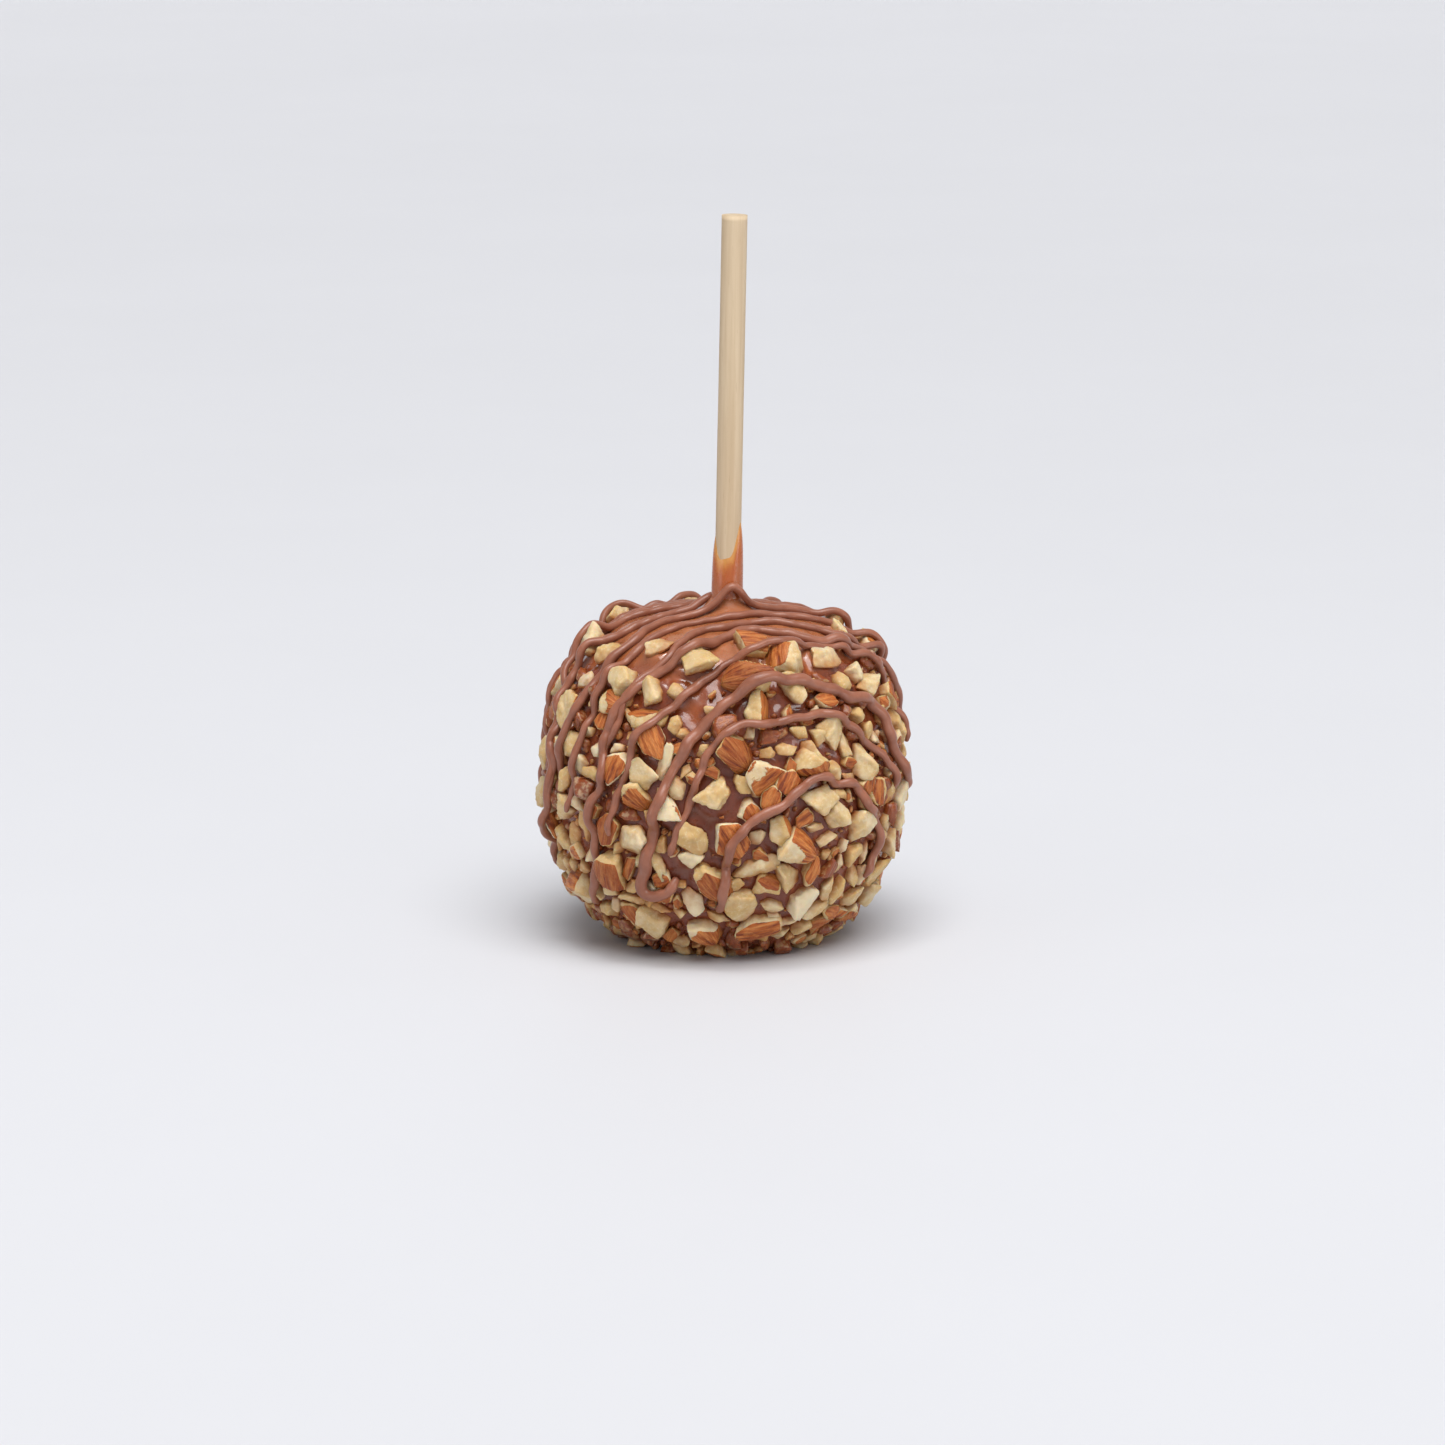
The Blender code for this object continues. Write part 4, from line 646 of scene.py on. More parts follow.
def climbAt(points, nuts):
    # the caramel is highest under each piece and falls off beside it: height times e to the
    # -(gap / width)^power, the highest of all pieces; part after part, to spare memory
    places = np.array([nut["place"] for nut in nuts])
    radii = np.array([nutRadius(nut) for nut in nuts])
    height = np.minimum(caramel["climbShare"] * radii, caramel["climb"])
    highest = []
    for part in np.array_split(points, caramel["parts"]):
        gap = np.linalg.norm(part[:, None] - places[None], axis=2) - caramel["climbUnder"] * radii
        fall = (np.maximum(gap, 0) / caramel["climbWidth"]) ** caramel["climbPower"]
        highest.append((height * np.exp(-fall)).max(1))
    return np.concatenate(highest)


def ringsAt(radii, heights):
    # level rings round the axis, one for each radius, at a height for each ring or point
    around = anglesRound(caramel["sides"])
    rings = np.zeros((len(heights), caramel["sides"], 3))
    rings[..., 0] = np.sin(around) * radii
    rings[..., 1] = -np.cos(around) * radii
    rings[..., 2] = heights
    return rings


def stickFilm():
    # from a wavy lip down the stick, thicker from nothing by 1 - e^(-way below the lip / length)
    down = np.linspace(0, 1, caramel["filmRings"])[:, None]
    around = anglesRound(caramel["sides"])
    lip = caramel["collarTop"] + sum(height * np.cos(waves * around + phase)
                                     for waves, phase, height in caramel["lipWaves"])
    heights = lip + (caramel["collarBottom"] - lip) * down
    thickness = caramel["collarRadius"] - stick["radius"]
    thickness = thickness * (1 - np.exp(-(lip - heights) / caramel["thickening"]))
    return ringsAt(stick["radius"] - caramel["tuck"] + thickness, heights), thickness


def crownFlare():
    # out from the film, sinking on to the crown by e^(-way out / length)
    step = np.linspace(0, 1, caramel["flareRings"] + 1)[1:] ** caramel["flareGrowth"]
    step = step * caramel["flareWidth"]
    share = np.exp(-step / caramel["flare"])
    rise = caramel["collarBottom"] - crownHeights(np.array([caramel["collarRadius"]]))[0]
    radii = caramel["collarRadius"] + step
    heights = crownHeights(radii) + rise * share
    return ringsAt(radii[:, None], heights[:, None]), share, (radii[-1], heights[-1])


def sideAndFoot(start):
    # round the side by even angles from the flare's end to the edge of the foot, then inwards
    ratio = body["waistHeight"] / body["bellyDrop"]
    footRadius = body["radius"] * (1 - ratio ** body["bellyPower"]) ** (1 / body["bellyPower"])
    first = math.degrees(math.atan2(start[1] - body["waistHeight"], start[0]))
    last = -math.degrees(math.atan2(body["waistHeight"], footRadius))
    turns = np.linspace(first, last, caramel["bodyRings"] + 1)[1:]
    outline = directionsAt(np.full(len(turns), 90), turns)
    outline = outline * reachOf(bodyField, np.zeros(3), outline)[:, None]
    side = ringsAt(outline[:, :1], outline[:, 2:] + body["waistHeight"])
    inwards = np.linspace(1, 0, caramel["footRings"] + 2)[1:-1, None] * footRadius
    return side, ringsAt(inwards, 0 * inwards)


def makeCaramel(nuts, material):
    # rings from the lip on the stick down the film, out over the crown, round the side and
    # in over the foot; each ring goes once round the axis
    film, thickness = stickFilm()
    flare, flareShare, flareEnd = crownFlare()
    side, foot = sideAndFoot(flareEnd)
    rings = np.concatenate((film, flare, side, foot))
    points = swollen(rings.reshape(-1, 3))
    lean = smoothStep((points[:, 2] - caramel["leanFrom"]) / caramel["leanBand"])
    points[:, 0] += lean * stickShift(points[:, 2])
    source = np.random.RandomState(caramel["seed"])
    bodyShare = np.concatenate((np.zeros(len(film)), 1 - flareShare,
                                np.ones(len(side) + len(foot))))
    wave = sum(share * ripple(points, length, source) for share, length in caramel["waves"])
    climb = climbAt(points, nuts)
    away = np.repeat(bodyShare, caramel["sides"]) * (climb + caramel["unevenness"] * wave)
    points += bodyNormals(points) * away[:, None]
    points[:, 2] = np.maximum(points[:, 2], 0)
    points[-len(foot) * caramel["sides"]:, 2] = 0
    thick = np.ones(len(points) + 2)
    thick[:thickness.size] = thickness.ravel() / mm
    top = (stickShift(caramel["collarTop"]), 0, caramel["collarTop"] - caramel["poleDrop"])
    points = np.concatenate((points, (top, (0, 0, 0))))
    values = {"thick": thick, "climb": np.append(climb / mm, (0, 0))}
    quads, triangles = loftFaces(len(rings), caramel["sides"])
    return makePiece("caramelCoat", points, quads, triangles, material, values)


drizzle = {
    "pole": (27.0, -12.0),       # azimuth and elevation of what the threads run round
    "backRadius": 1.0,
    "backSway": 2.5,             # degrees that a thread behind strays
    "backKnots": 9,
    "knotPoints": 40,
    "spacing": 0.5 * mm,
    "bed": 0.4,                  # share of its radius that a thread sinks into what it lies on
    "span": 3,                   # steps either way from which a thread takes the highest bed
    "sag": 1.7 * mm,             # and the way over which it evens that out
    "perchSide": 1.4 * mm,       # the thread that climbs the collar is highest right of its middle
    "perchWidth": 3.5 * mm,
    "tail": 7.0 * mm,
    "tailRadius": 0.55,
    "probe": 9.0 * mm,           # how far outside the beds are looked for from
    "wanders": ((6.0 * mm, 0.12 * mm), (10.0 * mm, 0.15 * mm)),      # wavelength and width
    "seed": 7,
    "threadSeeds": 700,          # each thread's seed is this and its number
    "sides": 16,
    "wide": 1.06,                # width and height of its section, as shares of the round one
    "high": 0.94,
    "bulb": 0.35,                # how much thicker the last drop of a tail is
    "bulbLength": 1.3 * mm,
    "swelling": 0.1,             # how unevenly thick it is along its length
    "swellLengths": (9 * mm, 4 * mm),
    "capTurns": (15, 40, 65),    # degrees from the end, for the rings of the round caps
}

# A thread goes from one angle round the pole to another, 0 straight above it and positive
# to the left; "away" is its distance from the pole at even steps, in degrees.
frontThreads = (
    {"start": 134, "end": -122, "radius": 1.15,
     "away": (33, 27, 25, 23, 20, 17, 17, 19, 22, 21, 25, 25, 29, 32, 31)},
    {"start": 97, "end": -84, "radius": 0.95,
     "away": (42, 40, 40, 43, 44, 40, 40, 41, 39, 41, 43, 44)},
    {"start": 114, "end": -84, "radius": 1.35, "curl": ((111, 42), (116, 45)),
     "away": (52, 49, 48, 48, 49, 50, 51, 52, 50, 49, 49, 53, 50, 49, 53)},
    {"start": 93, "end": -73, "radius": 0.95,
     "away": (61, 62, 62, 63, 61, 61, 62, 62, 62, 63, 66, 68, 70, 68, 66)},
    {"start": 124, "end": -78, "radius": 1.1,
     "away": (74, 69, 68, 70, 68, 73, 74, 73, 71, 72, 75, 71, 67, 70, 74, 76, 77, 79)},
    {"start": 71, "end": -79, "radius": 0.95,
     "away": (72, 72, 75, 75, 81, 81, 82, 77, 74, 78, 81, 83, 85)},
    {"start": 93, "end": -87, "radius": 0.95,
     "away": (81, 81, 82, 84, 85, 89, 90, 89, 89, 86, 84, 82, 82, 82, 82)},
    {"start": 91, "end": -89, "radius": 1.05, "perch": 4.0,
     "away": (90, 91, 90, 89, 90, 91, 97, 99, 96, 94, 97, 99, 95, 93, 94, 94, 94, 94)},
    {"start": 123, "end": -93, "radius": 1.05,
     "away": (102, 99, 93, 94, 99, 104, 104, 102, 105, 106, 107, 107, 106, 105, 104, 103, 102,
              101)},
    {"start": 96, "end": -109, "radius": 0.95,
     "away": (92, 94, 102, 110, 114, 120, 124, 123, 118, 113, 110, 108, 108, 107, 107, 107)},
)
# behind, where the threads go on: distance from the pole and half the angle covered
backThreads = ((117, 112), (124, 100), (131, 118), (138, 96), (147, 124))


def allThreads():
    # those listed, then those behind, each a circle round the pole that strays a little
    threads = list(frontThreads)
    source = np.random.RandomState(drizzle["seed"])
    for away, half in backThreads:
        sway = source.uniform(-drizzle["backSway"], drizzle["backSway"], drizzle["backKnots"])
        threads.append({"start": half, "end": -half, "radius": drizzle["backRadius"],
                        "away": tuple(away + sway)})
    return threads


def throughKnots(knots):
    # a smooth curve through the knots: between two, a cubic that at each has the slope from the
    # knot before it to the knot after it
    padded = np.concatenate((2 * knots[:1] - knots[1:2], knots, 2 * knots[-1:] - knots[-2:-1]))
    step = (np.arange(drizzle["knotPoints"]) / drizzle["knotPoints"])[:, None]
    parts = []
    for before, first, second, after in zip(padded, padded[1:], padded[2:], padded[3:]):
        slope = (second - before) / 2
        nextSlope = (after - first) / 2
        gap = second - first
        parts.append(first + step * slope + step ** 2 * (3 * gap - 2 * slope - nextSlope)
                     + step ** 3 * (slope + nextSlope - 2 * gap))
    return np.concatenate(parts + [knots[-1:]])


def poleDirections(angles, aways):
    # cos away times the pole, plus sin away times a direction at right angles to it
    pole = directionsAt(*drizzle["pole"])
    top = unit(np.array((0, 0, 1)) - pole * pole[2])
    left = np.cross(pole, top)
    turn = np.radians(angles)[:, None]
    away = np.radians(aways)[:, None]
    ring = np.cos(turn) * top + np.sin(turn) * left
    return np.cos(away) * pole + np.sin(away) * ring


def evenlySpaced(points):
    # the same line with a point at every step of its length, and those lengths
    steps = np.linalg.norm(np.diff(points, axis=0), axis=1)
    run = np.concatenate(((0.0,), np.cumsum(steps)))
    along = np.arange(0, run[-1], drizzle["spacing"])
    return np.stack([np.interp(along, run, points[:, axis]) for axis in range(3)], 1), along


def evened(values):
    # raised to the highest close by, then evened out with a bell of weights
    reach = drizzle["span"]
    padded = np.pad(values, reach, "edge")
    highest = np.max([padded[start:start + len(values)] for start in range(2 * reach + 1)], 0)
    width = int(2 * drizzle["sag"] / drizzle["spacing"])
    weights = np.exp(-(np.arange(-width, width + 1) * drizzle["spacing"] / drizzle["sag"]) ** 2)
    return np.convolve(np.pad(highest, width, "edge"), weights / weights.sum(), "valid")


def clearOfCollar(points, radius):
    # points near the stick moved out until a thread there only leans on the collar
    shift = np.zeros_like(points)
    shift[:, 0] = stickShift(points[:, 2])
    local = points - shift
    flat = np.maximum(np.hypot(local[:, 0], local[:, 1]), body["least"])
    nearest = caramel["collarRadius"] + (1 - drizzle["bed"]) * radius
    above = local[:, 2] > body["waistHeight"]
    grow = np.where(above, np.maximum(nearest / flat, 1), 1)
    return shift + local * np.stack((grow, grow, np.ones(len(points))), 1)


def bedHeights(points, normals, trees):
    # how high above the plain form the highest piece under each point lies
    probe = drizzle["probe"]
    lift = np.zeros(len(points))
    for index, (point, normal) in enumerate(zip(points, normals)):
        start = Vector(point + normal * probe)
        hits = [tree.ray_cast(start, Vector(-normal)) for tree in trees]
        lift[index] = max([probe - hit[3] for hit in hits if hit[0]], default=0)
    return lift


def perchHeights(thread, points, along):
    # a bell along the thread, highest where it passes in front of the stick
    aside = np.abs(points[:, 0] - stickShift(points[:, 2]) - drizzle["perchSide"])
    nearStick = int(np.argmin(np.where(points[:, 1] < 0, aside, body["far"])))
    perch = np.exp(-((along - along[nearStick]) / drizzle["perchWidth"]) ** 2)
    return perch * thread.get("perch", 0) * mm


def threadRadii(thread, points, along, source):
    # thinner towards both ends, with a last drop there, and unevenly thick all along
    fromEnd = np.minimum(along, along[-1] - along)
    thin = drizzle["tailRadius"]
    radii = thin + (1 - thin) * smoothStep(fromEnd / drizzle["tail"])
    drop = (fromEnd - drizzle["bulbLength"]) / drizzle["bulbLength"]
    radii = radii + drizzle["bulb"] * np.exp(-drop ** 2)
    swelling = sum(ripple(points, length, source) for length in drizzle["swellLengths"])
    return thread["radius"] * mm * radii * (1 + drizzle["swelling"] * swelling)


def threadLine(thread, number, trees):
    # the middle line as it lies on almonds and caramel, its radii and the outward directions
    angles = np.linspace(thread["start"], thread["end"], len(thread["away"]))
    knots = np.stack((angles, thread["away"]), 1)
    if "curl" in thread:
        knots = np.concatenate((thread["curl"], knots))
    line = throughKnots(knots)
    points, along = evenlySpaced(bodyPoints(poleDirections(line[:, 0], line[:, 1])))
    normals = bodyNormals(points)
    source = np.random.RandomState(drizzle["threadSeeds"] + number)
    sway = sum(width * np.sin(2 * math.pi * (along / wave + source.random_sample()))
               for wave, width in drizzle["wanders"])
    points += np.cross(normals, np.gradient(points, drizzle["spacing"], axis=0)) * sway[:, None]
    points = clearOfCollar(points, thread["radius"] * mm)
    radii = threadRadii(thread, points, along, source)
    lift = evened(bedHeights(points, normals, trees)) + perchHeights(thread, points, along)
    middle = points + normals * (lift + (1 - drizzle["bed"]) * radii)[:, None]
    return middle, radii, normals


def threadRings(middle, radii, normals):
    # a slightly flattened ring across the line at each point, with a round cap at both ends
    along = unit(np.gradient(middle, axis=0))
    across = unit(np.cross(along, normals))
    outward = np.cross(across, along)
    angle = anglesRound(drizzle["sides"])
    section = (np.cos(angle)[None, :, None] * across[:, None] * drizzle["wide"]
               + np.sin(angle)[None, :, None] * outward[:, None] * drizzle["high"])
    capTurns = np.radians(drizzle["capTurns"])
    head = [middle[:1] - along[:1] * radii[0] * math.cos(turn) for turn in capTurns]
    tail = [middle[-1:] + along[-1:] * radii[-1] * math.cos(turn) for turn in capTurns[::-1]]
    centres = np.concatenate(head + [middle] + tail)
    sizes = np.concatenate((radii[0] * np.sin(capTurns), radii, radii[-1] * np.sin(capTurns[::-1])))
    caps = len(capTurns)
    section = np.concatenate((np.repeat(section[:1], caps, 0), section,
                              np.repeat(section[-1:], caps, 0)))
    rings = centres[:, None] + section * sizes[:, None, None]
    poles = np.stack((middle[0] - along[0] * radii[0], middle[-1] + along[-1] * radii[-1]))
    return np.concatenate((rings.reshape(-1, 3), poles)), len(rings)


def makeDrizzle(trees, material):
    # all threads in one piece, each a closed tube of its own
    points, quads, triangles = [], [], []
    first = 0
    for number, thread in enumerate(allThreads()):
        threadPoints, rings = threadRings(*threadLine(thread, number, trees))
        ringQuads, ringTriangles = loftFaces(rings, drizzle["sides"])
        points.append(threadPoints)
        quads.append(ringQuads + first)
        triangles.append(ringTriangles + first)
        first += len(threadPoints)
    return makePiece("chocolateDrizzle", np.concatenate(points), np.concatenate(quads),
                     np.concatenate(triangles), material)


def makeStick(material):
    # rings along the dowel, the end ones drawn in to round the rims, then leaned to the right
    length, rim, radius, lean = stick["length"], stick["rim"], stick["radius"], stick["lean"]
    turns = np.radians(stick["rimTurns"])
    rimAlong = rim * (1 - np.sin(turns))
    rimRadii = radius - rim + rim * np.cos(math.pi / 2 - turns)
    middleAlong = np.linspace(rim, length - rim, stick["rings"])[1:-1]
    faceRadii = np.array(stick["faceShares"]) * (radius - rim)
    along = np.concatenate((0 * faceRadii, rimAlong, middleAlong, length - rimAlong[::-1],
                            length + 0 * faceRadii))
    radii = np.concatenate((faceRadii, rimRadii, np.full(len(middleAlong), radius),
                            rimRadii[::-1], faceRadii[::-1]))
    angle = anglesRound(stick["sides"])
    rings = np.stack((np.outer(radii, np.sin(angle)), np.outer(radii, -np.cos(angle)),
                      np.repeat(along[:, None], len(angle), 1)), -1)
    points = rings.reshape(-1, 3)
    stretched = points * np.array((1, 1, stick["fibreStretch"]))
    source = np.random.RandomState(stick["seed"])
    fibres = ripple(stretched, stick["fibreWidth"], source, stick["fibreWaves"])
    grow = 1 + stick["fibreDepth"] * fibres
    points = points * np.stack((grow, grow, np.ones(len(points))), 1)
    points = np.concatenate((points, ((0, 0, 0), (0, 0, length))))
    lowerEnd = stick["top"] - length * math.cos(lean) - radius * math.sin(lean)
    placed = np.stack((points[:, 0] * math.cos(lean) + points[:, 2] * math.sin(lean),
                       points[:, 1],
                       points[:, 2] * math.cos(lean) - points[:, 0] * math.sin(lean)), 1)
    placed += np.array((stickShift(lowerEnd), 0, lowerEnd))
    quads, triangles = loftFaces(len(along), stick["sides"])
    return makePiece("woodenStick", placed, quads, triangles, material, {"grain": points / mm})


def addNode(tree, kind, settings=None, **inputs):
    # a node with its settings, and values or links on the inputs named with _ for a blank
    made = tree.nodes.new(kind)
    for key, value in (settings or {}).items():
        setattr(made, key, value)
    for key, value in inputs.items():
        setInput(tree, made.inputs[key.replace("_", " ")], value)
    return made


def setInput(tree, socket, value):
    # a socket takes a value, or the output of another node
    if isinstance(value, bpy.types.NodeSocket):
        tree.links.new(value, socket)
    else:
        socket.default_value = value


def combined(tree, operation, first, second):
    # two values added, multiplied or the like
    made = tree.nodes.new("ShaderNodeMath")
    made.operation = operation
    setInput(tree, made.inputs[0], first)
    setInput(tree, made.inputs[1], second)
    return made.outputs[0]


def added(tree, first, second):
    # the sum of two values
    return combined(tree, "ADD", first, second)


def scaled(tree, value, factor):
    # a value times a factor, either of which may be a node's output
    return combined(tree, "MULTIPLY", value, factor)


def swing(tree, value, amount):
    # a value from 0 to 1 as one round 0: (value - 0.5) times the amount
    return scaled(tree, combined(tree, "SUBTRACT", value, 0.5), amount)


def mixColours(tree, share, first, second):
    # the first colour where the share is 0, the second where it is 1
    made = tree.nodes.new("ShaderNodeMix")
    made.data_type = "RGBA"
    setInput(tree, made.inputs[0], share)
    setInput(tree, made.inputs[6], first)
    setInput(tree, made.inputs[7], second)
    return made.outputs[2]


def mapRange(tree, value, low, high, newLow=0.0, newHigh=1.0):
    # from the first new value at low to the second at high, in an S, and level outside
    made = addNode(tree, "ShaderNodeMapRange", {"interpolation_type": "SMOOTHSTEP"}, Value=value,
                   From_Min=low, From_Max=high, To_Min=newLow, To_Max=newHigh)
    return made.outputs["Result"]


def attributeOf(tree, name, output="Fac"):
    # what makePiece kept at the points under this name
    made = tree.nodes.new("ShaderNodeAttribute")
    made.attribute_name = name
    return made.outputs[output]


def noiseAt(tree, vector, scale, detail=3.0, roughness=0.55, distortion=0.0):
    # a soft noise from 0 to 1; the scale is in lumps per metre on Object coordinates
    made = addNode(tree, "ShaderNodeTexNoise", None, Vector=vector, Scale=scale, Detail=detail,
                   Roughness=roughness, Distortion=distortion)
    return made.outputs["Fac"]


toneLook = {
    "quicker": 4.7,              # how many times finer the quick noise is
    "band": (0.25, 0.75),        # what of their sum becomes 0 to 1
}


def mottleGroup():
    # two noises, a slow and a quick one, as one uneven value from 0 to 1
    group = bpy.data.node_groups.new("unevenTone", "ShaderNodeTree")
    group.interface.new_socket("Vector", in_out="INPUT", socket_type="NodeSocketVector")
    for name in ("Scale", "Fine Share"):
        group.interface.new_socket(name, in_out="INPUT", socket_type="NodeSocketFloat")
    group.interface.new_socket("Value", in_out="OUTPUT", socket_type="NodeSocketFloat")
    inputs = group.nodes.new("NodeGroupInput").outputs
    outputs = group.nodes.new("NodeGroupOutput").inputs
    slow = noiseAt(group, inputs["Vector"], inputs["Scale"])
    quick = noiseAt(group, inputs["Vector"], scaled(group, inputs["Scale"], toneLook["quicker"]))
    total = added(group, slow, swing(group, quick, inputs["Fine Share"]))
    group.links.new(mapRange(group, total, *toneLook["band"]), outputs["Value"])
    return group


unevenTone = mottleGroup()


def toneAt(tree, vector, scale, fineShare=0.4):
    # the group above, placed in a material
    made = tree.nodes.new("ShaderNodeGroup")
    made.node_tree = unevenTone
    setInput(tree, made.inputs["Vector"], vector)
    made.inputs["Scale"].default_value = scale
    made.inputs["Fine Share"].default_value = fineShare
    return made.outputs["Value"]


def newMaterial(name, **constants):
    # a Principled shader whose plain values go straight on its sockets
    material = bpy.data.materials.new(name)
    material.use_nodes = True
    tree = material.node_tree
    shader = tree.nodes["Principled BSDF"]
    for key, value in constants.items():
        shader.inputs[key.replace("_", " ")].default_value = value
    place = tree.nodes.new("ShaderNodeTexCoord").outputs["Object"]
    return material, tree, shader, place


def bumpFrom(tree, shader, height, distance):
    # fine relief: heights from 0 to 1 stand for this distance
    bump = addNode(tree, "ShaderNodeBump", None, Height=height, Distance=distance, Strength=1.0)
    tree.links.new(bump.outputs["Normal"], shader.inputs["Normal"])


caramelLook = {
    "thin": (0.60, 0.27, 0.07, 1),
    "film": (0.43, 0.105, 0.022, 1),
    "orange": (0.33, 0.080, 0.017, 1),
    "deepAndContactShade": (0.165, 0.028, 0.008, 1),
    "milkyAndFloorSheen": (0.205, 0.070, 0.042, 1),
    # the crown's colour holds painted light from above and a painted sheen, over the caramel's own
    # orange
    "crown": (0.43, 0.155, 0.065, 1),
    "toneScale": 90,
    "floorSheenBand": (64 * mm, 44 * mm, 0.1, 0.85),  # two heights, and what the share is at each
    "crownTopLightBand": (70 * mm, 78 * mm, 0, 0.8),
    "glossBand": (50 * mm, 68 * mm, 0.25, 0.8),
    "dullBand": (82 * mm, 90 * mm, 0, 0.55),
    "sparkleBand": (50 * mm, 62 * mm),
    # caramel against the almonds turns deep brown: thicker caramel there, and painted contact shade
    "contactShadeBand": (0.06, 0.6, 0, 0.7),            # millimetres up an almond, and the shares
    "streakScale": 420,          # runs on the stick, longer than wide
    "streakStretch": 0.25,
    "streak": 0.7,
    "bodyFrom": (0.62, 0.98),    # millimetres of thickness
    "thinFrom": (0.62, 0.1),
    "roughScale": 260,
    "roughness": (0.16, 0.42),
    "wetScale": 75,              # patches that are wetter, with small beads
    "wetBand": (0.5, 0.66),
    "wetter": 0.15,
    "beadScale": 2300,
    "beads": 1.6,
    "grainScale": 1100,
    "relief": 0.09 * mm,
}


def caramelMaterial():
    # orange where thin, brown where thick, milkier low down with a painted floor sheen, with a wet
    # gloss on the crown
    material, tree, shader, place = newMaterial(
        "stickyCaramel", Subsurface_Weight=0.25, Subsurface_Radius=(0.004, 0.0016, 0.0006),
        Subsurface_Scale=0.6, Coat_Roughness=0.07, Specular_IOR_Level=0.35)
    look = caramelLook
    height = addNode(tree, "ShaderNodeSeparateXYZ", None, Vector=place).outputs["Z"]
    brown = mixColours(tree, toneAt(tree, place, look["toneScale"]), look["deepAndContactShade"], look["orange"])
    # low down: the caramel's own milkier tone together with a painted sheen of the pale floor
    thick = mixColours(tree, mapRange(tree, height, *look["floorSheenBand"]), brown, look["milkyAndFloorSheen"])
    # darker where the caramel climbs an almond: partly its own deeper colour, partly painted contact
    # shade
    climb = mapRange(tree, attributeOf(tree, "climb"), *look["contactShadeBand"])
    thick = mixColours(tree, climb, thick, look["deepAndContactShade"])
    # lighter and more orange on the crown: partly the caramel's own thin orange, partly painted top
    # light and sheen
    thick = mixColours(tree, mapRange(tree, height, *look["crownTopLightBand"]), thick, look["crown"])
    streaks = addNode(tree, "ShaderNodeMapping", None, Vector=place,
                      Scale=(1, 1, look["streakStretch"]))
    streak = noiseAt(tree, streaks.outputs[0], look["streakScale"], 2)
    run = added(tree, attributeOf(tree, "thick"), swing(tree, streak, look["streak"]))
    film = mixColours(tree, mapRange(tree, run, *look["bodyFrom"]), look["film"], thick)
    colour = mixColours(tree, mapRange(tree, run, *look["thinFrom"]), film, look["thin"])
    tree.links.new(colour, shader.inputs["Base Color"])
    wet = mapRange(tree, noiseAt(tree, place, look["wetScale"], 2), *look["wetBand"])
    wet = scaled(tree, wet, mapRange(tree, height, *look["sparkleBand"]))
    rough = mapRange(tree, toneAt(tree, place, look["roughScale"]), 0, 1, *look["roughness"])
    rough = combined(tree, "SUBTRACT", rough, scaled(tree, wet, look["wetter"]))
    gloss = combined(tree, "SUBTRACT", mapRange(tree, height, *look["glossBand"]),
                     mapRange(tree, height, *look["dullBand"]))
    tree.links.new(gloss, shader.inputs["Coat Weight"])
    tree.links.new(rough, shader.inputs["Roughness"])
    beads = scaled(tree, wet, noiseAt(tree, place, look["beadScale"], 2))
    grain = noiseAt(tree, place, look["grainScale"], 4, 0.7)
    bumpFrom(tree, shader, added(tree, grain, scaled(tree, beads, look["beads"])), look["relief"])
    return material


almondLook = {
    "skinDark": (0.17, 0.032, 0.010, 1),
    "skinMid": (0.42, 0.108, 0.018, 1),
    "skinLight": (0.60, 0.225, 0.060, 1),
    "fleshLight": (0.67, 0.555, 0.36, 1),
    "fleshDeep": (0.55, 0.355, 0.135, 1),
    "fleshFleck": (0.76, 0.67, 0.48, 1),
    "syrupAndWarmShade": (0.40, 0.140, 0.034, 1),
    "stain": (0.24, 0.056, 0.014, 1),
    "fibres": (0.11, 4.2, 9.0),  # how fast the skin changes along, round and from one to the next
    "ridgeNoise": (1.25, 2.5, 0.5, 0.15),
    # the relief's ridges get painted light, its grooves painted shade
    "ridgeHighlight": (0.45, 0.62),  # what of a noise is coloured, and for how much
    "grooveShade": (0.47, 0.34, 0, 0.95),
    "fibreNoise": (6.5, 2, 0.6),
    "fibreDark": (0.62, 0.4, 0, 0.35),
    "rubScale": 330,
    "rubLight": (0.55, 1, 0, 0.45),
    "toneDark": (0.35, 1, 0, 0.4),
    "fleshScale": 230,
    "deepTone": (0.2, 1, 0, 0.75),
    "paleTone": (0.3, 0, 0, 0.6),
    "fleckScale": 1300,
    "flecks": (0.52, 0.66, 0, 0.35),
    "edgeScale": 700,            # the ragged line between skin and flesh, in millimetres
    "ragged": 0.9,
    "edgeBand": (-0.06, 0.06),
    "creepScale": 330,           # how far up the caramel creeps, in millimetres
    "creep": 3.0,
    # the low tint of a piece: caramel creeping up, and painted warm shade near the caramel
    "syrupShadeBand": (3.0, 0.7, 0, 0.85),
    "stainBand": (1.1, 0.4),
    "patchScale": 900,           # gaps in the caramel on pieces that it covers
    "patchBand": (0.35, 0.55, 0.55, 1.0),
    "roughness": (0.5, 0.28),    # bare, and under caramel
    "gloss": (0.03, 0.4),
    "grainScale": 1500,
    "grain": 0.8,
    "ridge": 3.4,
    "relief": 0.18 * mm,
}


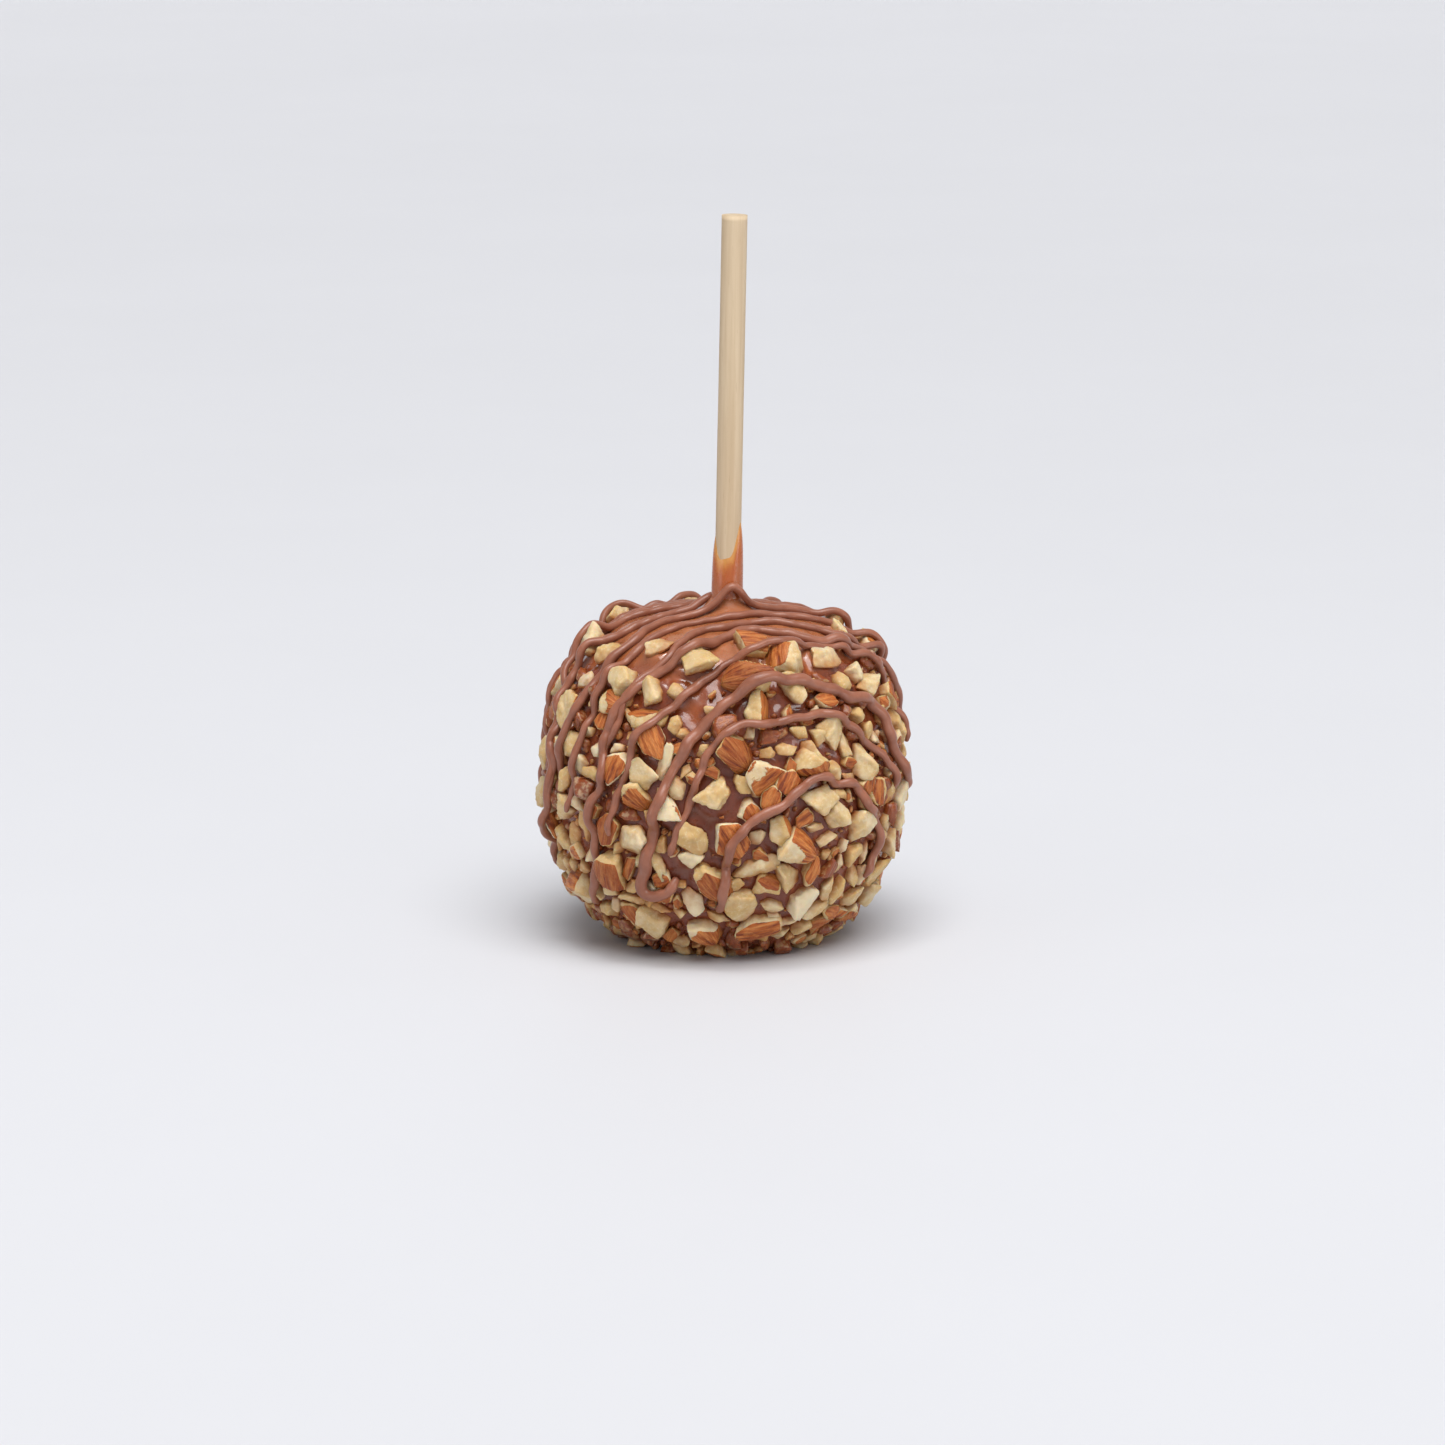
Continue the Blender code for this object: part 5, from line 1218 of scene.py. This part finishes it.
def almondSkin(tree, place, tone):
    # a brown with painted light on long ridges and painted shade in the grooves, rubbed here and there;
    # and the ridges
    look = almondLook
    half = almond["half"] / mm
    axes = addNode(tree, "ShaderNodeSeparateXYZ", None,
                   Vector=attributeOf(tree, "almondPlace", "Vector")).outputs
    around = combined(tree, "ARCTAN2", combined(tree, "DIVIDE", axes["Y"], half[1]),
                      combined(tree, "DIVIDE", axes["Z"], half[2]))
    alongSpeed, roundSpeed, nextSpeed = look["fibres"]
    lines = addNode(tree, "ShaderNodeCombineXYZ", None, X=scaled(tree, axes["X"], alongSpeed),
                    Y=scaled(tree, around, roundSpeed), Z=scaled(tree, tone, nextSpeed)).outputs[0]
    ridge = noiseAt(tree, lines, *look["ridgeNoise"])
    fibres = noiseAt(tree, lines, *look["fibreNoise"])
    rub = toneAt(tree, place, look["rubScale"])
    skin = look["skinMid"]
    # ridges and grooves are painted light and shade that follow the relief; fibres, rubbing and tone
    # are the skin's own
    for value, band, colour in ((ridge, "ridgeHighlight", "skinLight"), (ridge, "grooveShade", "skinDark"),
                                (fibres, "fibreDark", "skinDark"), (rub, "rubLight", "skinLight"),
                                (tone, "toneDark", "skinDark")):
        skin = mixColours(tree, mapRange(tree, value, *look[band]), skin, look[colour])
    return skin, ridge


def almondFlesh(tree, place, tone):
    # cream, deeper in some pieces and lighter in others, with pale flecks
    look = almondLook
    uneven = toneAt(tree, place, look["fleshScale"], 0.25)
    flecks = noiseAt(tree, place, look["fleckScale"], 4, 0.7)
    flesh = mixColours(tree, uneven, look["fleshLight"], look["fleshDeep"])
    for value, band, colour in ((tone, "deepTone", "fleshDeep"), (tone, "paleTone", "fleshFleck"),
                                (flecks, "flecks", "fleshFleck")):
        flesh = mixColours(tree, mapRange(tree, value, *look[band]), flesh, look[colour])
    return flesh


def almondMaterial():
    # brown wrinkled skin on one side of the skin's edge, cream flesh on the other, and
    # caramel creeping up from below, its tint also a painted warm shade near the caramel
    material, tree, shader, place = newMaterial(
        "brokenAlmond", Subsurface_Weight=0.5, Subsurface_Radius=(0.004, 0.0024, 0.0011),
        Subsurface_Scale=0.5, Coat_Roughness=0.2, Specular_IOR_Level=0.28)
    look = almondLook
    tone = attributeOf(tree, "tone")
    skin, ridge = almondSkin(tree, place, tone)
    edge = swing(tree, noiseAt(tree, place, look["edgeScale"]), look["ragged"])
    edge = added(tree, attributeOf(tree, "skinEdge"), edge)
    onSkin = mapRange(tree, edge, *look["edgeBand"])
    colour = mixColours(tree, onSkin, almondFlesh(tree, place, tone), skin)
    creep = swing(tree, noiseAt(tree, place, look["creepScale"]), look["creep"])
    creep = added(tree, attributeOf(tree, "lift"), creep)
    # low on each piece: caramel creeping up, and painted warm shade near the caramel
    colour = mixColours(tree, mapRange(tree, creep, *look["syrupShadeBand"]), colour, look["syrupAndWarmShade"])
    patches = mapRange(tree, noiseAt(tree, place, look["patchScale"]), *look["patchBand"])
    covered = scaled(tree, attributeOf(tree, "coated"), patches)
    stained = combined(tree, "MAXIMUM", mapRange(tree, creep, *look["stainBand"]), covered)
    colour = mixColours(tree, stained, colour, look["stain"])
    tree.links.new(colour, shader.inputs["Base Color"])
    for key, name in (("roughness", "Roughness"), ("gloss", "Coat Weight")):
        tree.links.new(mapRange(tree, stained, 0, 1, *look[key]), shader.inputs[name])
    ridges = scaled(tree, scaled(tree, ridge, onSkin), look["ridge"])
    grain = scaled(tree, noiseAt(tree, place, look["grainScale"], 4, 0.65), look["grain"])
    bumpFrom(tree, shader, added(tree, ridges, grain), look["relief"])
    return material


chocolateLook = {
    "light": (0.325, 0.124, 0.073, 1),
    "dark": (0.245, 0.087, 0.050, 1),
    "toneScale": 160,
    "roughScale": 500,
    "roughness": (0.3, 0.42),
    "grainScale": 900,
    "relief": 0.03 * mm,
}


def chocolateMaterial():
    # set milk chocolate: even, satin, faintly mottled
    material, tree, shader, place = newMaterial(
        "milkChocolate", Subsurface_Weight=0.1, Subsurface_Radius=(0.002, 0.001, 0.0007),
        Subsurface_Scale=0.4, Coat_Weight=0.18, Coat_Roughness=0.25, Specular_IOR_Level=0.35)
    look = chocolateLook
    colour = mixColours(tree, toneAt(tree, place, look["toneScale"]), look["dark"], look["light"])
    rough = mapRange(tree, toneAt(tree, place, look["roughScale"]), 0, 1, *look["roughness"])
    tree.links.new(colour, shader.inputs["Base Color"])
    tree.links.new(rough, shader.inputs["Roughness"])
    bumpFrom(tree, shader, noiseAt(tree, place, look["grainScale"]), look["relief"])
    return material


woodLook = {
    "light": (0.62, 0.485, 0.325, 1),
    "mid": (0.53, 0.395, 0.25, 1),
    "dark": (0.33, 0.21, 0.11, 1),
    "stretch": 0.035,            # how much slower the fibres change along the stick
    "bandScale": 0.55,           # lumps per millimetre across it
    "bands": (0.3, 0.7),
    "fibreScale": 4.5,
    "streaks": (0.6, 0.75, 0, 0.45),
    "roughness": (0.55, 0.75),
    "relief": 0.06 * mm,
}


def woodMaterial():
    # birch: long fine fibres, a few darker streaks
    material, tree, shader, place = newMaterial("birchDowel")
    look = woodLook
    fibres = addNode(tree, "ShaderNodeMapping", None, Scale=(1.0, 1.0, look["stretch"]),
                     Vector=attributeOf(tree, "grain", "Vector")).outputs[0]
    slow = mapRange(tree, noiseAt(tree, fibres, look["bandScale"], 3), *look["bands"])
    fine = noiseAt(tree, fibres, look["fibreScale"], 4, 0.6)
    colour = mixColours(tree, slow, look["light"], look["mid"])
    colour = mixColours(tree, mapRange(tree, fine, *look["streaks"]), colour, look["dark"])
    tree.links.new(colour, shader.inputs["Base Color"])
    tree.links.new(mapRange(tree, fine, 0, 1, *look["roughness"]), shader.inputs["Roughness"])
    bumpFrom(tree, shader, fine, look["relief"])
    return material


print("placing the almond pieces")
groups = scatterNuts()
print({name: len(nuts) for name, nuts in groups.items()})
almondFinish = almondMaterial()
almonds = [makeAlmonds(name, nuts, almondFinish) for name, nuts in groups.items()]
print("pouring the caramel")
bedKinds = 6                     # grains and crumbs are too small to lift caramel or chocolate
stuckNuts = sum(list(groups.values())[:bedKinds], [])
coat = makeCaramel(stuckNuts, caramelMaterial())
print("drizzling the chocolate")
graph = bpy.context.evaluated_depsgraph_get()
beds = [BVHTree.FromObject(piece, graph) for piece in [coat] + almonds[:bedKinds]]
threads = makeDrizzle(beds, chocolateMaterial())
print("turning the stick")
dowel = makeStick(woodMaterial())

finishes = [(coat, "caramel"), (threads, "milk_chocolate")]
for piece, slotName in finishes + [(piece, "almond") for piece in almonds]:
    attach(piece, "root")
    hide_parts("coated_apple")
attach(dowel, "root")
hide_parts("stick")


stageLook = {
    "colour": (0.63, 0.635, 0.665, 1),
    "near": -4.0,
    "bend": 6.0,                 # where the floor starts to rise
    "bendRadius": 2.0,
    "bendPoints": 24,
    "height": 4.0,
    "halfWidth": 8.0,
    "darker": 0.985,             # its darker patches, as a share of the colour
    "patchScale": 3,
    "roughness": 0.6,
}


def makeFloor():
    # one sweep: flat floor, a quarter turn up, a straight wall
    turn = np.radians(np.linspace(0, 90, stageLook["bendPoints"]))
    radius = stageLook["bendRadius"]
    y = np.concatenate(((stageLook["near"],), stageLook["bend"] + radius * np.sin(turn),
                        (stageLook["bend"] + radius,)))
    z = np.concatenate(((0.0,), radius * (1 - np.cos(turn)), (stageLook["height"],)))
    x = np.array((-1.0, 1.0)) * stageLook["halfWidth"]
    points = np.stack((np.tile(x, len(y)), np.repeat(y, 2), np.repeat(z, 2)), 1)
    row = np.arange(len(y) - 1)[:, None] * 2
    quads = row + np.array((0, 1, 3, 2))
    material, tree, shader, place = newMaterial("paleFloor", Roughness=stageLook["roughness"])
    uneven = toneAt(tree, place, stageLook["patchScale"])
    low = tuple(stageLook["darker"] * value for value in stageLook["colour"][:3]) + (1,)
    tree.links.new(mixColours(tree, uneven, low, stageLook["colour"]), shader.inputs["Base Color"])
    floor = makePiece("paleFloor", points, quads, np.zeros((0, 3), int), material)


lightLook = {
    "world": (1.0, 1.0, 1.0, 1),
    "worldStrength": 0.34,
    "sunStrength": 2.98,
    "sunAngle": math.radians(50),        # a wide one, for soft shadows
    "sunFrom": (14, 66),                 # azimuth and elevation
    "aim": (0, 0, 0.06),
    "boxes": {                           # place, width and height, watts
        "stripBox": ((-0.05, -0.3, 1.15), (0.45, 0.12), 2.2),
        "fillBox": ((0.15, -1.1, 0.1), (0.9, 0.45), 0.3),
        "leftBox": ((-0.95, -0.6, 0.05), (0.5, 0.4), 1.7),
        "rightBox": ((0.95, -0.65, 0.02), (0.5, 0.4), 3.4),
    },
}


def addLamp(name, kind, towards):
    # a lamp that shines this way
    data = bpy.data.lights.new(name, kind)
    lamp = bpy.data.objects.new(name, data)
    bpy.context.scene.collection.objects.link(lamp)
    lamp.rotation_euler = Vector(towards).to_track_quat("-Z", "Y").to_euler()
    return lamp, data


def addLight():
    # an even white room, a wide sun and four softboxes
    world = bpy.data.worlds.new("softRoom")
    world.use_nodes = True
    background = world.node_tree.nodes["Background"]
    background.inputs["Color"].default_value = lightLook["world"]
    background.inputs["Strength"].default_value = lightLook["worldStrength"]
    bpy.context.scene.world = world
    for name, (place, size, power) in lightLook["boxes"].items():
        lamp, data = addLamp(name, "AREA", np.array(lightLook["aim"]) - place)
        lamp.location = place
        data.shape = "RECTANGLE"
        data.size, data.size_y = size
        data.energy = power
    sun = addLamp("wideLight", "SUN", -directionsAt(*lightLook["sunFrom"]))[1]
    sun.energy = lightLook["sunStrength"]
    sun.angle = lightLook["sunAngle"]


cameraPlace = {
    "distance": 1.318,
    "height": 0.329,
    "tilt": math.radians(11.8),          # below level
    "halfView": math.radians(7.65),
    "sensor": 36.0,
}


def addCamera():
    # straight in front, tilted down; the lens follows from half the angle of view
    data = bpy.data.cameras.new("camera")
    data.sensor_width = cameraPlace["sensor"]
    data.lens = cameraPlace["sensor"] / 2 / math.tan(cameraPlace["halfView"])
    camera = bpy.data.objects.new("camera", data)
    bpy.context.scene.collection.objects.link(camera)
    camera.location = (0, -cameraPlace["distance"], cameraPlace["height"])
    camera.rotation_euler = (math.pi / 2 - cameraPlace["tilt"], 0, 0)
    bpy.context.scene.camera = camera


print("setting up floor, light and camera")
makeFloor()
addLight()
addCamera()
bpy.context.scene.view_settings.view_transform = "Standard"
